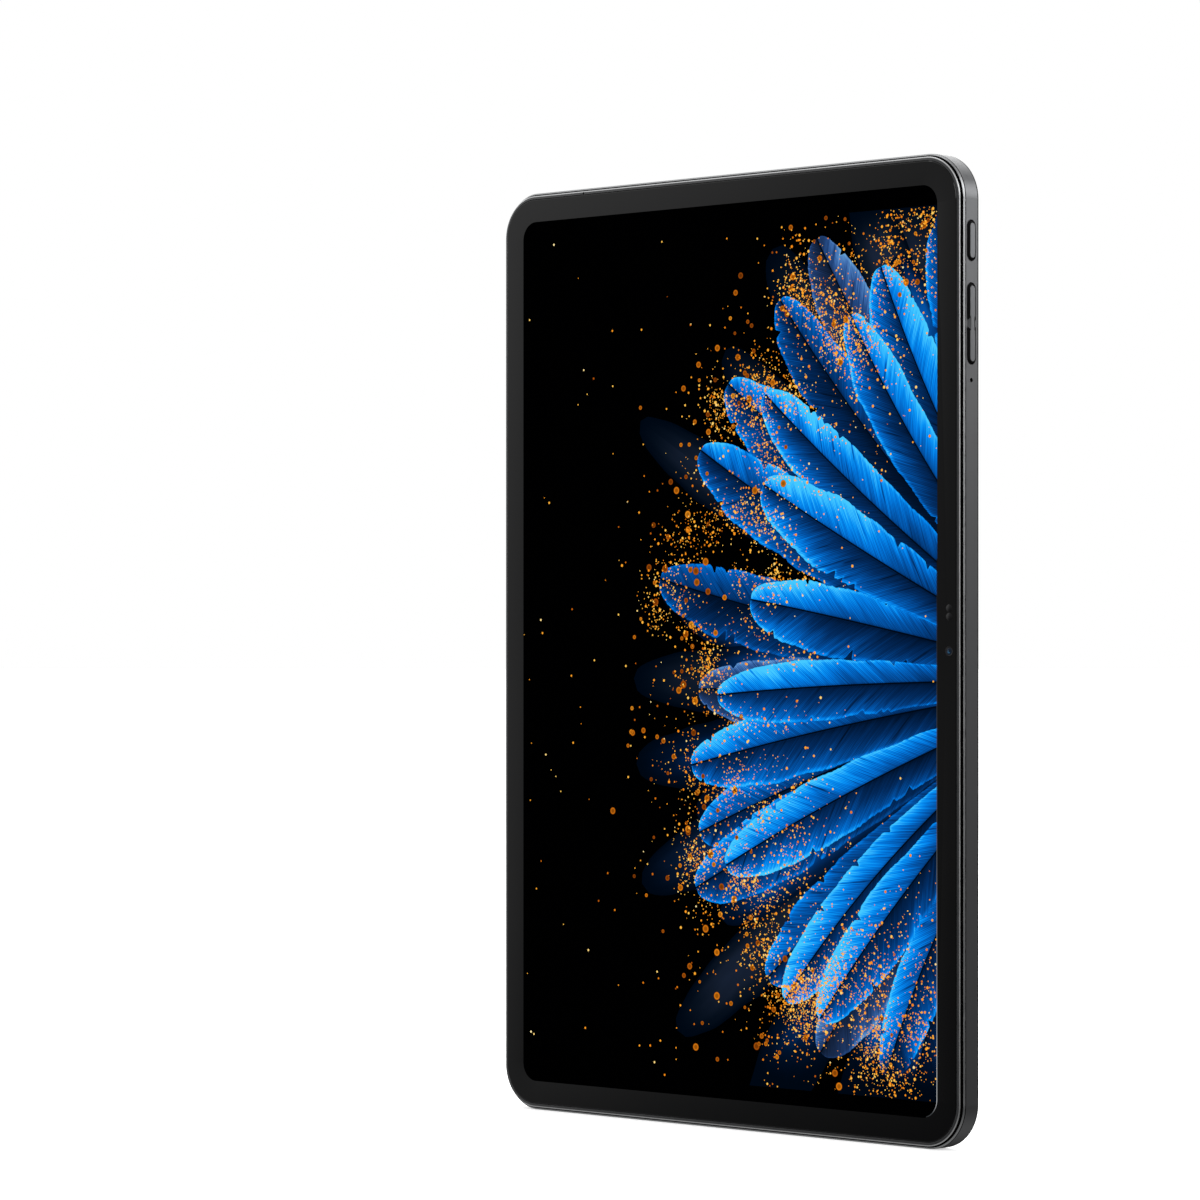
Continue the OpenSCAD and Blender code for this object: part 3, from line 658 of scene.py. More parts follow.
wall = skin(
    "island_frame_wall",
    ring_loops([(1.3, SEAT), (1.3, TOP + 0.06), (1.24, TOP), (0.66, TOP), (0.56, TOP + 0.03), (0.04, TOP + 0.56),
                (0.0, TOP + 0.66), (0.0, 0.15), (1.3, 0.15)], IW, IL, IR, IX, IY, n=32),
    [0, 0, 0, 1, 1, 1, 0, 0, 0], ["island_wall", "island_chamfer"], closed=True,
    replaces=("island_frame",), slot="island_metal", sharp=40)
weigh(wall)
GLASS_TOP = TOP + 0.05
glass_i = skin(
    "island_cover",
    ring_loops([(1.55, SEAT), (1.55, GLASS_TOP + 0.28), (1.60, GLASS_TOP + 0.14), (1.70, GLASS_TOP + 0.04),
                (1.85, GLASS_TOP)], IW, IL, IR, IX, IY, n=32),
    0, ["island_glass", "groove"], replaces=("island_glass",), slot="island_glass")
holes = [cutter("cut_ring", disc_loops([(RING_R + 0.1, SEAT + 0.3), (RING_R + 0.1, TOP - 0.3)], IX, RING_Y), 1)]
px, py, pw, pl = spot("island_plate")
holes.append(cutter("cut_plate", ring_loops([(-0.03, SEAT + 0.3), (-0.03, TOP - 0.3)], pw, pl, pw / 2, px, py), 1))
carve(glass_i, holes)

ring = skin(
    "lens_ring",
    disc_loops([(RING_R, SEAT), (RING_R, RING_TOP + 0.22), (RING_R - 0.05, RING_TOP + 0.08),
                (RING_R - 0.18, RING_TOP), (RING_R - 0.55, RING_TOP), (RING_R - 0.62, RING_TOP + 0.04),
                (RING_R - 0.66, RING_TOP + 0.16), (7.65, RING_TOP + 0.44), (7.45, RING_TOP + 0.48),
                (7.2, RING_TOP + 0.5), (7.2, SEAT)], IX, RING_Y, 160),
    [2, 0, 0, 0, 0, 1, 1, 1, 1, 1, 1], ["ring", "ring_slope", "ring_wall"], closed=True,
    replaces=("main_lens_ring",), slot="ring_steel", sharp=40)
weigh(ring)

# Lens window: gloss disc with the barrel's rings showing through it as raised prints under its surface
WIN = RING_TOP + 0.52
skin("lens_window", disc_loops([(7.2, WIN + 0.3), (7.2, WIN + 0.02), (7.15, WIN)], IX, RING_Y, 128),
     0, ["window"], replaces=("main_lens_window",), slot="lens_glass")
skin("barrel_rings",
     disc_loops([(3.05, WIN + 0.05), (3.05, WIN - 0.010), (2.85, WIN - 0.014), (2.6, WIN - 0.010), (2.25, WIN - 0.012),
                 (2.05, WIN - 0.016), (1.85, WIN - 0.010), (1.7, WIN - 0.008), (1.7, WIN + 0.05)], IX, RING_Y, 128),
     [0, 1, 0, 0, 1, 0, 0, 0, 0], ["barrel", "barrel_light"], closed=True, replaces=("main_lens_barrel",),
     slot="module_black", sharp=60)


def dome(name, cx, cy, radius, z, rise, material, foot=0.05, rings=10, n=64, **where):
    angles = [math.pi / 2 * k / rings for k in range(rings + 1)]
    profile = [(max(radius * math.cos(a), 0.001), z - rise * math.sin(a)) for a in angles]
    return skin(name, disc_loops([(radius, z + foot)] + profile, cx, cy, n), 0, [material], sharp=60, **where)


dome("main_lens", IX, RING_Y, 1.66, WIN - 0.008, 0.03, "lens_coating", slot="lens_glass")


def blob(name, cx, cy, w, h, z, tilt, material):
    """Small soft-edged mark, as a lens shows where it mirrors a lamp."""
    loops = []
    for k in range(6):
        a = math.pi / 2 * k / 5
        s, lift = max(math.cos(a), 0.002), 0.006 * math.sin(a)
        loops.append([at(*drift(cx, cy, tilt, w / 2 * s * math.cos(t), h / 2 * s * math.sin(t)), z - lift)
                      for t in (2 * math.pi * i / 32 for i in range(32))])
    return skin(name, loops, 0, [material], sharp=60, slot="lens_glass")


LENS_TOP = WIN - 0.036
blob("glint_blue", IX + 0.25, RING_Y + 0.75, 1.0, 0.6, LENS_TOP, 0.35, "glint_blue")
blob("glint_teal", IX - 0.25, RING_Y - 0.85, 0.8, 0.6, LENS_TOP, -0.2, "glint_teal")
blob("glint_small", IX - 0.05, RING_Y + 0.02, 0.35, 0.5, LENS_TOP, 0.2, "glint_white")

plate = skin("island_pill",
             ring_loops([(0.0, SEAT), (0.0, GLASS_TOP + 0.05), (0.05, GLASS_TOP + 0.005)], pw, pl, pw / 2, px, py,
                        n=32),
             0, ["plate", "groove"], replaces=("island_plate",), slot="plate_grey")
(SX, SY, SD, _), (FX, FY, FD, _) = spot("second_lens_window"), spot("flash_window")
SR, FR = SD / 2, FD / 2
carve(plate, [cutter("cut_a", disc_loops([(SR + 0.05, SEAT + 0.3), (SR + 0.05, TOP - 0.3)], SX, SY), 1),
              cutter("cut_b", disc_loops([(FR + 0.05, SEAT + 0.3), (FR + 0.05, TOP - 0.3)], FX, FY), 1)])
skin("second_window", disc_loops([(SR, SEAT), (SR, GLASS_TOP + 0.06), (SR - 0.06, GLASS_TOP)], SX, SY),
     0, ["black_gloss"], replaces=("second_lens_window",), slot="lens_glass")
skin("flash_cover", disc_loops([(FR, SEAT), (FR, GLASS_TOP + 0.06), (FR - 0.06, GLASS_TOP), (2.12, GLASS_TOP),
                                (2.05, GLASS_TOP + 0.06), (2.05, SEAT)], FX, FY),
     0, ["black_gloss"], closed=True, replaces=("flash_window",), slot="lens_glass", sharp=40)
dome("flash_dome", FX, FY, 2.0, GLASS_TOP + 0.12, 0.08, "flash_cream", replaces=("flash_lens",), slot="flash_cream")


def arc_mark(name, cx, cy, radius, width, start, end, material, z=GLASS_TOP - 0.004, foot=0.02, n=24):
    """Thin curved stroke between two angles in degrees, with pointed ends, lying on a window."""
    a0, a1 = math.radians(start), math.radians(end)
    low, high = [], []
    for k in range(n + 1):
        t = k / n
        a = a0 + (a1 - a0) * t
        half = width / 2 * (1 - 0.8 * abs(2 * t - 1) ** 2.2)
        low.append(drift(cx, cy, a, radius - half))
        high.append(drift(cx, cy, a, radius + half))
    bm = solid([[at(x, y, depth) for x, y in low + high[::-1]] for depth in (z, z + foot)], 0)
    return add(name, to_mesh(bm, name), [material], slot="ring_steel")


for k, a in enumerate((40, 140, 220, 320)):
    arc_mark(f"aperture_arc_{k}", SX, SY, 2.8, 0.38, a - 23, a + 23, "silver")
for name, side in (("high", 1), ("low", -1)):
    dome(f"aperture_dot_{name}", SX, SY + side * 0.92, 1.08, GLASS_TOP, 0.04, "target", slot="ring_steel")
dome("flash_core", FX + 0.42, FY, 1.05, GLASS_TOP + 0.05, 0.03, "flash_core", slot="flash_cream")
arc_mark("flash_crescent", FX, FY, 1.62, 0.50, 115, 245, "flash_rim", z=GLASS_TOP + 0.045)
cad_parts["flash_led"].material_slots[0].material = M["flash_rim"]

# ---- Front camera and light sensors: small wells in the border's glass ----

CAM_X, CAM_Y = spot("front_camera")[:2]
SENSOR_X, SENSOR_Y = spot("light_sensors")[:2]
SENSOR_STEP = 1.08
WELL = FRONT - 0.06
wells = [cutter("cut_eye", disc_loops([(1.30, WELL), (1.30, FRONT - 0.02), (1.33, FRONT + 0.02)], CAM_X, CAM_Y, 64), 2)]
for side in (-1, 1):
    wells.append(cutter("cut_sensor", disc_loops([(1.03, WELL), (1.03, FRONT + 0.02)], SENSOR_X,
                                                 SENSOR_Y + side * SENSOR_STEP, 48), 2))
carve(glass, wells)
skin("camera_eye", disc_loops([(1.26, WELL), (1.26, FRONT - 0.022), (1.22, FRONT - 0.012), (0.98, FRONT - 0.012),
                               (0.90, FRONT - 0.04), (0.90, WELL)], CAM_X, CAM_Y, 64),
     [0, 0, 0, 0, 0], ["eye_ring"], closed=True, replaces=("front_camera",), slot="module_black", sharp=40)
dome("camera_eye_lens", CAM_X, CAM_Y, 0.88, FRONT - 0.05, -0.03, "lens_coating", foot=-0.01, slot="lens_glass")
arc_mark("camera_eye_glint", CAM_X, CAM_Y, 0.34, 0.30, 120, 330, "eye_blue", z=FRONT - 0.012, foot=-0.02)
for side in (-1, 1):
    skin(f"light_sensor_{side + 1}", disc_loops([(1.0, WELL), (1.0, FRONT - 0.02), (0.96, FRONT - 0.008)], SENSOR_X,
                                                SENSOR_Y + side * SENSOR_STEP, 48),
         0, ["sensor"], replaces=("light_sensors",), slot="module_black")

# ---- Picture on the display: blue plumes opening like a fan, and gold dust ----

rng = random.Random(11)
PX0, PX1 = -SIDE + BEZEL, SIDE - BEZEL
PY0, PY1 = BEZEL, H - BEZEL
IMAGE_Y0, IMAGE_Y1 = PY0 + 4.2, PY1 - 5.3
PIC_Z = FRONT - RECESS
HUB = (121.0, 119.0)  # where the plumes meet, beyond the picture
PLUME_LIFT, PLUME_STEP, HAZE_DEPTH, DUST_LIFT, GLOW_LIFT = 0.004, 0.0011, 0.003, 0.068, 0.0695


def picture_mesh(name, verts, faces, values, material, cuts=()):
    """A sheet in the picture that faces out of the display, with a named value at each point.
    Each cut is [a point in the plane, the side to clear]."""
    mesh = bpy.data.meshes.new(name)
    mesh.from_pydata(verts, [], faces)
    for key, numbers in values.items():
        mesh.attributes.new(key, "FLOAT", "POINT").data.foreach_set("value", numbers)
    bm = bmesh.new()
    bm.from_mesh(mesh)
    for point, side in cuts:
        everything = bm.verts[:] + bm.edges[:] + bm.faces[:]
        bmesh.ops.bisect_plane(bm, geom=everything, plane_co=point, plane_no=side, clear_outer=True)
    for f in bm.faces:
        if f.normal.y > 0:
            f.normal_flip()
    bm.to_mesh(mesh)
    bm.free()
    return add(name, mesh, [material], slot="display_cell")


def smooth_step(a, b, x):
    t = min(max((x - a) / (b - a), 0), 1)
    return t * t * (3 - 2 * t)


def plume_width(t):
    """Half width along a plume, as a share of its widest: a long taper and an elliptical tip."""
    body = 0.42 + 0.58 * smooth_step(0.0, 0.66, t)
    return body * math.sqrt(max(1 - ((t - 0.70) / 0.30) ** 2, 0)) if t > 0.70 else body


FIELDS = ("fu", "fd", "fv", "ft", "tone", "slate", "soft", "fseed")
COLUMNS = (-1, -0.93, -0.8, -0.6, -0.35, -0.12, 0, 0.12, 0.35, 0.6, 0.8, 0.93, 1)


class Plumes:
    """Collects plumes into one mesh, each a little nearer the glass than the one before."""

    def __init__(self):
        self.verts, self.faces = [], []
        self.data = {k: [] for k in FIELDS}
        self.edges, self.tips = [], []
        self.count = 0

    def add(self, angle, length, half, tone, slate=0.0, bend=0.0, soft=0.0, start=16.0, rows=230):
        a, a2 = math.radians(angle), math.radians(angle + bend)
        foot, middle = drift(*HUB, a, start), drift(*HUB, a, length * 0.60)
        tip = drift(*middle, a2, length * 0.42)
        seed = rng.uniform(0, 100)
        splits = [(rng.uniform(0.35, 0.97), rng.choice((-1, 1)), rng.uniform(0.10, 0.34), rng.uniform(0.006, 0.014))
                  for _ in range(5)]
        z = PIC_Z + PLUME_LIFT + PLUME_STEP * self.count
        self.count += 1
        first = len(self.verts)
        spine, run = [], 0.0
        for i in range(rows + 1):
            t = i / rows
            x, y = ((1 - t) ** 2 * p + 2 * t * (1 - t) * q + t * t * r for p, q, r in zip(foot, middle, tip))
            if spine:
                run += math.hypot(x - spine[-1][0], y - spine[-1][1])
            spine.append((x, y, run))
        for i, (x, y, run) in enumerate(spine):
            t = i / rows
            x0, y0, _ = spine[max(i - 1, 0)]
            x1, y1, _ = spine[min(i + 1, rows)]
            d = math.hypot(x1 - x0, y1 - y0)
            ux, uy = (x1 - x0) / d, (y1 - y0) / d
            for side in (-1, 1):
                swell = 1 + 0.10 * noise.noise(Vector((run * 0.10, side * 3.0, seed)))
                fray = 0.035 * noise.noise(Vector((run * 0.9, side * 7.0, seed + 5))) * (1 - soft)
                notch = 1.0
                for place, where, depth, wide in splits:
                    if where == side:
                        notch -= (1 - soft) * depth * max(1 - abs(t - place) / wide, 0)
                w = half * plume_width(t) * (1.0 if side > 0 else 0.80) * (swell + fray)
                for v in (c for c in COLUMNS if (c < 0) == (side < 0)):
                    reach = abs(v)
                    s = v * w * (1 - (1 - notch) * reach ** 3)
                    lean = abs(s) * 0.60 * (1 - 0.55 * t)
                    px_, py_ = x - uy * s + ux * lean, y + ux * s + uy * lean
                    self.verts.append(at(px_, py_, z))
                    here = tone * smooth_step(IMAGE_Y0 + 2, IMAGE_Y0 + 17, py_)
                    here *= smooth_step(-IMAGE_Y1 - 1, 12 - IMAGE_Y1, -py_)
                    for key, value in zip(FIELDS, (run, s, v, t, here, slate, soft, seed)):
                        self.data[key].append(value)
                    if reach == 1 and t > 0.45 and tone > 0.3 and i % 4 == 0:
                        self.edges.append((px_, py_, -uy * side, ux * side, ux, uy, t))
            if i == rows and soft < 0.5:
                self.tips.append((x, y, math.atan2(uy, ux), half))
        n = len(COLUMNS)
        for k in (first + i * n + j for i in range(rows) for j in range(n - 1)):
            self.faces.append((k, k + 1, k + n + 1, k + n))

    def build(self, name, material):
        edges = ((at(PX1, 0, 0), (1, 0, 0)), (at(0, IMAGE_Y1, 0), (0, 0, 1)), (at(0, IMAGE_Y0, 0), (0, 0, -1)))
        picture_mesh(name, self.verts, self.faces, self.data, material, edges)


def field(look, name):
    return look.node("ShaderNodeAttribute", attribute_name=name).outputs["Fac"]


def plume_look():
    look = Look("plume", (0.0, 0.004, 0.012), rough=0.5, spec=0.0)
    math_, times, ramp, mix = look.math, look.times, look.ramp, look.mix
    u, d, v, t = (field(look, k) for k in ("fu", "fd", "fv", "ft"))
    tone, slate, soft, seed = (field(look, k) for k in ("tone", "slate", "soft", "fseed"))
    away = math_("ABSOLUTE", d)
    barb = math_("SUBTRACT", u, times(away, 0.85))

    def texture(scale, detail, stretch):
        """Noise that runs along the barbs; stretch is how fast it changes outwards."""
        join = look.node("ShaderNodeCombineXYZ", {"X": barb, "Y": times(away, stretch),
                                                  "Z": math_("ADD", seed, times(math_("SIGN", d), 9.0))})
        return look.node("ShaderNodeTexNoise", {"Vector": join.outputs["Vector"], "Scale": scale,
                                                "Detail": detail}).outputs["Fac"]

    fine, streak, sheen = texture(2.2, 2.0, 0.06), texture(0.75, 3.0, 0.10), texture(0.055, 2.0, 0.8)
    sharp = math_("SUBTRACT", 1.0, soft)
    wave = math_("SINE", times(math_("ADD", barb, times(fine, 0.35)), 9.6))
    lines = math_("MULTIPLY_ADD", times(wave, sharp), 0.13, 0.86)
    grain = math_("MULTIPLY_ADD", times(math_("SUBTRACT", fine, 0.5), sharp), 0.9, 1.0)
    streaks = math_("MULTIPLY_ADD", times(math_("SUBTRACT", streak, 0.5), sharp), 0.6, 1.0)
    gaps = ramp(math_("MULTIPLY_ADD", streak, sharp, times(soft, 0.5)),
                [(0.0, 0.55), (0.30, 0.62), (0.345, 1.0), (1.0, 1.0)])
    patches = math_("MULTIPLY_ADD", math_("SUBTRACT", sheen, 0.5), 1.1, 1.0)
    toward_tip = math_("MULTIPLY_ADD", math_("POWER", t, 1.5), 0.66, 0.40)
    out = math_("ABSOLUTE", v)
    crisp = ramp(out, [(0.0, 0.55), (0.12, 0.74), (0.55, 0.92), (0.88, 1.06), (0.96, 1.30), (1.0, 1.10)])
    faded = ramp(out, [(0.0, 1.0), (0.35, 0.85), (0.75, 0.28), (1.0, 0.0)], smooth=True)
    edge = mix(soft, crisp, faded)
    blur_tip = math_("SUBTRACT", 1.0, times(soft, ramp(t, [(0.78, 0.0), (1.0, 1.0)], True)))
    sides = mix(soft, ramp(math_("MULTIPLY_ADD", v, 0.5, 0.5), [
        (0.0, 1.22), (0.25, 1.06), (0.48, 0.98), (0.52, 0.34), (0.70, 0.50), (0.93, 0.72), (1.0, 0.95)]), (1, 1, 1))
    light = times(tone, toward_tip, lines, grain, streaks, gaps, patches, edge, sides, blur_tip)
    rachis = mix(soft, ramp(away, [(0.0, 0.02), (0.14, 0.03), (0.26, 1.0)]), (1, 1, 1))
    light = math_("MULTIPLY", light, rachis, clamp=True)
    blue = ramp(light, [(0.0, 0.0), (0.10, (0.0004, 0.004, 0.018)), (0.26, (0.001, 0.024, 0.115)),
                        (0.46, (0.001, 0.090, 0.40)), (0.66, (0.001, 0.22, 0.84)), (0.84, (0.006, 0.38, 1.0)),
                        (1.0, (0.060, 0.58, 1.0))])
    grey = ramp(light, [(0.0, 0.0), (0.5, (0.030, 0.042, 0.075)), (1.0, (0.25, 0.34, 0.50))])
    look.glow(mix(slate, blue, grey))


def curl(angle):
    """Plumes curl away from the middle of the fan."""
    return (angle - 176) * 0.34


def fan(order, first, step, stray, length, half, tone, twist, slate=None, **kind):
    """Plumes at even steps of angle, each a little off its place. Those turned past the last value of length are
    shortened; slate gives a plume's greyness by its number."""
    base, low, high, pull, past = length
    for k in order:
        angle = first + k * step + rng.uniform(-stray, stray)
        plumes.add(angle, base + rng.uniform(low, high) - pull * smooth_step(past, past + 45, angle),
                   rng.uniform(*half), rng.uniform(*tone), slate=slate(k) if slate else 0.0,
                   bend=curl(angle) + rng.uniform(-twist, twist), **kind)


plumes = Plumes()
fan(range(13), 120, 9.8, 3, (0, 140, 168, 0, 0), (8.5, 12.0), (0.14, 0.30), 8,
    slate=lambda k: rng.choice((0.0, 0.3, 0.9)), soft=1.0, rows=60)
fan(range(12), 112, 11.6, 3, (0, 122, 140, 0, 0), (8.0, 11.0), (0.45, 0.70), 8, soft=0.85, rows=60)
fan(range(16), 100, 10.2, 2.5, (134, -9, 9, 12, 205), (9.5, 11.5), (0.50, 0.78), 5,
    slate=lambda k: 0.6 if k in (3, 8, 12) else 0.0)
order = list(range(15))
rng.shuffle(order)
fan(order, 104, 10.6, 3.5, (123, -15, 10, 15, 200), (8.8, 11.2), (0.82, 1.12), 7)
plume_look()
plumes.build("picture_plumes", "plume")


class Dust:
    """Collects small discs into one mesh. Each has its own colour value, and falls off towards its edge if soft."""

    def __init__(self):
        self.verts, self.faces, self.hue, self.far = [], [], [], []

    def add(self, x, y, r, hue, sides=6, depth=0.0):
        if not (PX0 + r < x < PX1 - r and IMAGE_Y0 + r < y < IMAGE_Y1 - r):
            return
        first = len(self.verts)
        spin = rng.uniform(0, 6.28)
        z = PIC_Z + DUST_LIFT - depth
        rim = [drift(x, y, spin + 2 * math.pi * i / sides, r) for i in range(sides)]
        self.verts += [at(*point, z) for point in [(x, y)] + rim]
        self.hue += [hue] * (sides + 1)
        self.far += [0.0] + [1.0] * sides
        self.faces += [(first, first + 1 + i, first + 1 + (i + 1) % sides) for i in range(sides)]

    def drop(self, x, y, scale, layer, low, high, *hue):
        """Adds a grain where the noise is high, so that the grains lie in clumps."""
        if noise.noise(Vector((x * scale, y * scale, layer))) > rng.uniform(low, high):
            self.add(x, y, min(0.11 + rng.expovariate(1 / 0.085), 0.42), rng.triangular(*hue))

    def build(self, name, material):
        picture_mesh(name, self.verts, self.faces, {"hue": self.hue, "far": self.far}, material)


def dust_look(name, soft):
    look = Look(name, (0.02, 0.008, 0.001), rough=0.5, spec=0.0)
    colour = look.ramp(field(look, "hue"), [(0.0, (0.10, 0.018, 0.001)), (0.25, (0.45, 0.09, 0.003)),
                                            (0.55, (0.95, 0.27, 0.008)), (0.75, (1.0, 0.42, 0.030)),
                                            (0.9, (1.0, 0.62, 0.11)), (1.0, (1.0, 0.84, 0.42))])
    if soft:
        fade = look.ramp(field(look, "far"), [(0.0, 0.35), (0.5, 0.42), (0.78, 0.95), (0.9, 0.5), (1.0, 0.0)])
        colour = look.mix(1.0, colour, fade, blend="MULTIPLY")
    look.glow(colour)


dust, haze = Dust(), Dust()
# Gold leaf clinging to the plumes' edges and blown past their tips
for _ in range(11000):
    x, y, nx, ny, ux, uy, t = rng.choice(plumes.edges)
    if rng.random() > smooth_step(0.45, 0.95, t):
        continue
    off = rng.gauss(0.3, 1.3)
    blown = rng.expovariate(1 / (1.2 + 3.5 * t)) - 1.0
    dust.drop(x + nx * off + ux * blown, y + ny * off + uy * blown, 0.075, 3.3, -0.45, 0.30, 0.35, 1.0, 0.78)
for x, y, direction, half in plumes.tips:
    if rng.random() < 0.35:
        continue
    shift = rng.choice((-0.6, 0.5)) * half
    for _ in range(330):
        place = drift(x, y, direction, rng.gauss(-3.0, 5.0), rng.gauss(0, 0.42 * half) + shift)
        dust.drop(*place, 0.13, 5.7, -0.6, 0.2, 0.45, 1.0, 0.85)
# Clouds of it, each stretched along its own drift
CLOUDS = ((61, 231, 12, 7, 60, 900), (38, 212, 12, 6, 125, 800), (14, 190, 9, 5, 100, 460), (-6, 160, 9, 4, 20, 340),
          (2, 92, 12, 6, 160, 560), (18, 66, 13, 6, 40, 700), (44, 42, 16, 8, 35, 1300), (64, 25, 12, 9, 60, 900))
for cx, cy, long, wide, tilt, count in CLOUDS:
    for _ in range(count):
        place = drift(cx, cy, math.radians(tilt), rng.gauss(0, long), rng.gauss(0, wide))
        dust.drop(*place, 0.11, 8.1, -0.5, 0.25, 0.25, 1.0, 0.7)
# Sparks further out
for _ in range(520):
    place = drift(*HUB, math.radians(rng.uniform(100, 258)), 126 + rng.expovariate(1 / 15.0))
    dust.add(*place, rng.uniform(0.12, 0.34), rng.triangular(0.1, 0.9, 0.4), sides=8)
for _ in range(110):
    dust.add(rng.uniform(PX0, PX1), rng.uniform(IMAGE_Y0, IMAGE_Y1), rng.uniform(0.14, 0.34), rng.uniform(0.6, 1.0),
             sides=8)
for _ in range(230):
    place = drift(*HUB, math.radians(rng.uniform(104, 256)), rng.gauss(139, 12))
    haze.add(*place, rng.uniform(0.45, 1.1), rng.triangular(0.1, 0.7, 0.35), sides=20, depth=HAZE_DEPTH)
dust_look("dust", False)
dust_look("haze", True)
dust.build("picture_dust", "dust")
haze.build("picture_haze", "haze")


def painted_edge_highlight():
    """Painted highlight: a thin glowing line along the lit area's lower right edge, standing in for the reflection on
    the display glass's edge.
    """
    x, inset, high = PX1 - 0.02, 0.22, 150.0
    centre = (PX1 - PIC_R, PY0 + PIC_R)
    path = [(x, high + (centre[1] - high) * k / 24, 1.0, 0.0, k / 24) for k in range(24)]
    for k in range(17):
        a = -math.radians(75) * k / 16
        path.append((*drift(*centre, a, PIC_R - 0.02), math.cos(a), math.sin(a), 1.0 - 0.8 * k / 16))
    z = PIC_Z + GLOW_LIFT
    verts, glow = [], []
    for px_, py_, nx, ny, value in path:
        verts += [at(px_, py_, z), at(px_ - nx * inset, py_ - ny * inset, z)]
        glow += [value, value]
    faces = [(2 * k, 2 * k + 1, 2 * k + 3, 2 * k + 2) for k in range(len(path) - 1)]
    look = Look("painted_edge_highlight", 0.01, rough=0.5, spec=0.0)
    tone = look.ramp(field(look, "glow"), [(0.0, 0.0), (0.5, (0.05, 0.055, 0.06)),
                                           (1.0, (0.42, 0.43, 0.44))])
    look.glow(tone)
    picture_mesh("picture_edge_highlight", verts, faces, {"glow": glow}, "painted_edge_highlight")


painted_edge_highlight()

# ---- World, floor and lights ----

world = bpy.data.worlds.new("studio")
bpy.context.scene.world = world
world.use_nodes = True
sky = Graph(world.node_tree)
sky.nodes.clear()
split = sky.node("ShaderNodeSeparateXYZ", {"Vector": sky.node("ShaderNodeTexCoord").outputs["Generated"]})
east, north, up = (split.outputs[k] for k in "XYZ")
height = sky.math("MULTIPLY_ADD", up, 0.5, 0.5)  # 0 straight down, 0.5 level, 1 straight up


def toward(degrees):
    """How far a world direction points towards this azimuth: 1 along it, 0 across it or straight up."""
    a = math.radians(degrees)
    return sky.math("ADD", sky.times(east, math.cos(a)), sky.times(north, math.sin(a)))


def fade(source, *stops):
    return sky.ramp(source, stops, smooth=True)


def shade(light, degrees, factor, reach=(0.6, 0.8)):
    """Multiplies the walls by the factor, only round this azimuth: not at all below the reach, fully above it."""
    near = fade(toward(degrees), (0.0, 0.0), (reach[0], 0.0), (reach[1], 1.0), (1.0, 1.0))
    return sky.mix(1.0, light, sky.mix(near, (1, 1, 1), factor), blend="MULTIPLY")


# The walls get brighter with height. The wall that the display mirrors darkens to one side, behind a soft flag
walls = fade(height, (0.0, 0.42), (0.18, 0.36), (0.30, 0.24), (0.37, 0.16), (0.42, 0.09), (0.44, 0.13), (0.5, 0.33),
             (0.56, 0.61), (0.63, 0.80), (0.8, 0.9), (1.0, 1.2))
across = sky.math("MULTIPLY_ADD", toward(137.8), 2.5, 0.5)
light = shade(walls, -132.2, fade(across, (0.0, 0.27), (0.30, 0.38), (0.65, 1.0), (1.0, 1.25)))
# The wall that the keys mirror is dim up to eye level, and the one that the back mirrors falls off faster
light = shade(light, -40, fade(height, (0.40, 0.30), (0.50, 0.42), (0.60, 1.0)), (0.86, 0.98))
light = shade(light, 134, fade(height, (0.30, 0.04), (0.44, 0.10), (0.50, 0.5), (0.56, 1.6), (0.66, 2.9)), (0.6, 0.85))
# The edge of a tall leaning panel behind the tablet, which shows as a slanting line in the camera island's glass
PANEL = (0.690, 0.6155, 0.380)
EDGE_SHARPNESS = 500.0
lean = sky.math("ADD", sky.times(east, PANEL[0]), sky.times(north, PANEL[1]))
lean = sky.math("MULTIPLY_ADD", sky.math("ADD", lean, sky.times(up, PANEL[2])), EDGE_SHARPNESS, 0.5)
light = shade(light, 133.7, fade(lean, (0.0, 0.25), (1.0, 2.3)), (0.987, 0.991))
light = shade(light, 60, fade(height, (0.30, 1.7), (0.38, 1.4), (0.45, 0.54), (0.50, 0.72), (0.56, 0.80), (0.72, 0.45)))
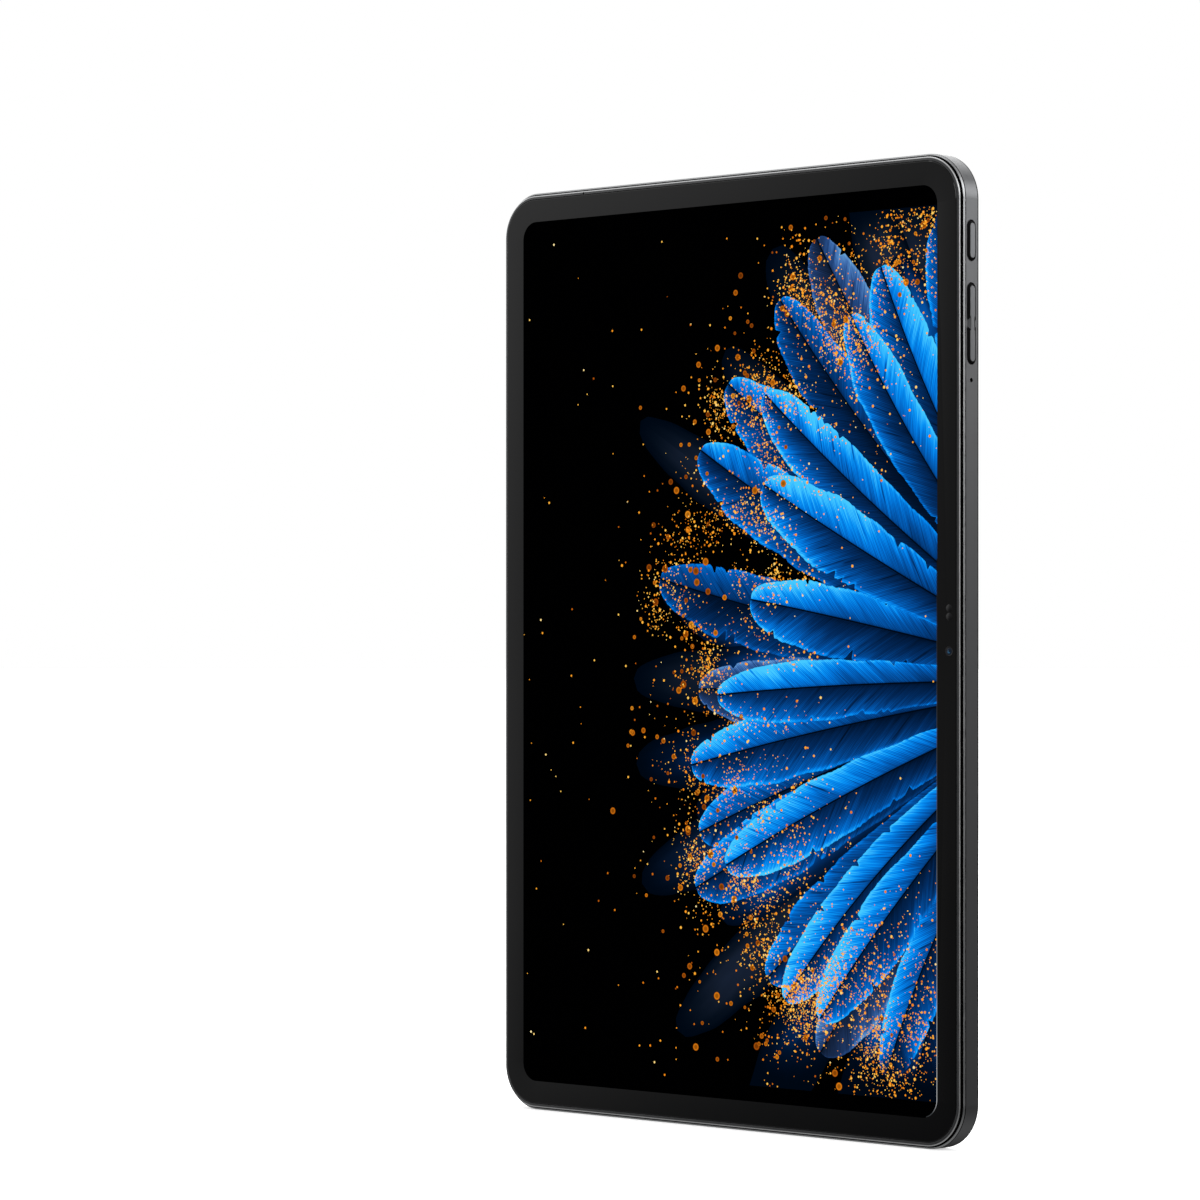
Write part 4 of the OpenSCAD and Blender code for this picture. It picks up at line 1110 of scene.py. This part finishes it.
# Overhead it is dimmer where the upper corner's edge (-60) and its side (90) mirror it
light = shade(light, -60, fade(height, (0.82, 1.0), (0.90, 0.45), (1.0, 0.45)), (0.2, 0.45))
light = shade(light, 90, fade(height, (0.70, 1.0), (0.80, 0.45), (1.0, 0.45)), (0.55, 0.7))
# The wall that the display's left side mirrors is lighter, most of all low down
light = shade(light, -175, fade(height, (0.45, 1.8), (0.468, 1.6), (0.485, 1.3), (0.505, 1.3), (0.56, 1.0)),
              (0.72, 0.79))
# The camera itself sees plain white
lit, seen = (sky.node("ShaderNodeBackground", {"Color": c}).outputs["Background"] for c in (light, (1, 1, 1)))
by_camera = sky.node("ShaderNodeLightPath").outputs["Is Camera Ray"]
choose = sky.node("ShaderNodeMixShader", {0: by_camera, 1: lit, 2: seen})
sky.node("ShaderNodeOutputWorld", {"Surface": choose.outputs["Shader"]})

floor_look = Look("floor", 0.8, rough=0.9, spec=0.0)
floor_look.tint(floor_look.noise(3, 2), 0.005)
floor_look.glow((1, 1, 1), 0.55)
FLOOR_R, FLOOR_SIDES, FLOOR_Z = 30, 64, -0.00002
bm = bmesh.new()
for k in range(FLOOR_SIDES):
    bm.verts.new((*drift(0, 0, 2 * math.pi * k / FLOOR_SIDES, FLOOR_R), FLOOR_Z))
bm.faces.new(bm.verts)
floor = add("floor", to_mesh(bm, "floor", outward=False), ["floor"], body=None)
floor.visible_glossy = floor.visible_diffuse = floor.visible_transmission = False


def lamp(name, place, target, size, size_y, watts, glossy=True):
    data = bpy.data.lights.new(name, "AREA")
    data.shape = "RECTANGLE"
    data.size, data.size_y = size, size_y
    data.energy = watts
    obj = put_in_scene(name, data)
    obj.location = place
    obj.rotation_euler = (Vector(target) - Vector(place)).to_track_quat("-Z", "Y").to_euler()
    obj.visible_camera = False
    obj.visible_glossy = glossy


lamp("top", (0.05, 0.27, 0.95), (0, 0, 0), 0.9, 0.9, 7)
lamp("front_soft", (1.15, -1.20, 0.85), (0, 0, 0.12), 0.5, 0.9, 5)
lamp("side_soft", (0.75, 0.66, 0.56), (0.08, 0, 0.22), 0.5, 0.42, 4.4)
lamp("back_soft", (-0.9, 1.3, 0.9), (0, 0, 0.12), 0.7, 0.7, 6, glossy=False)
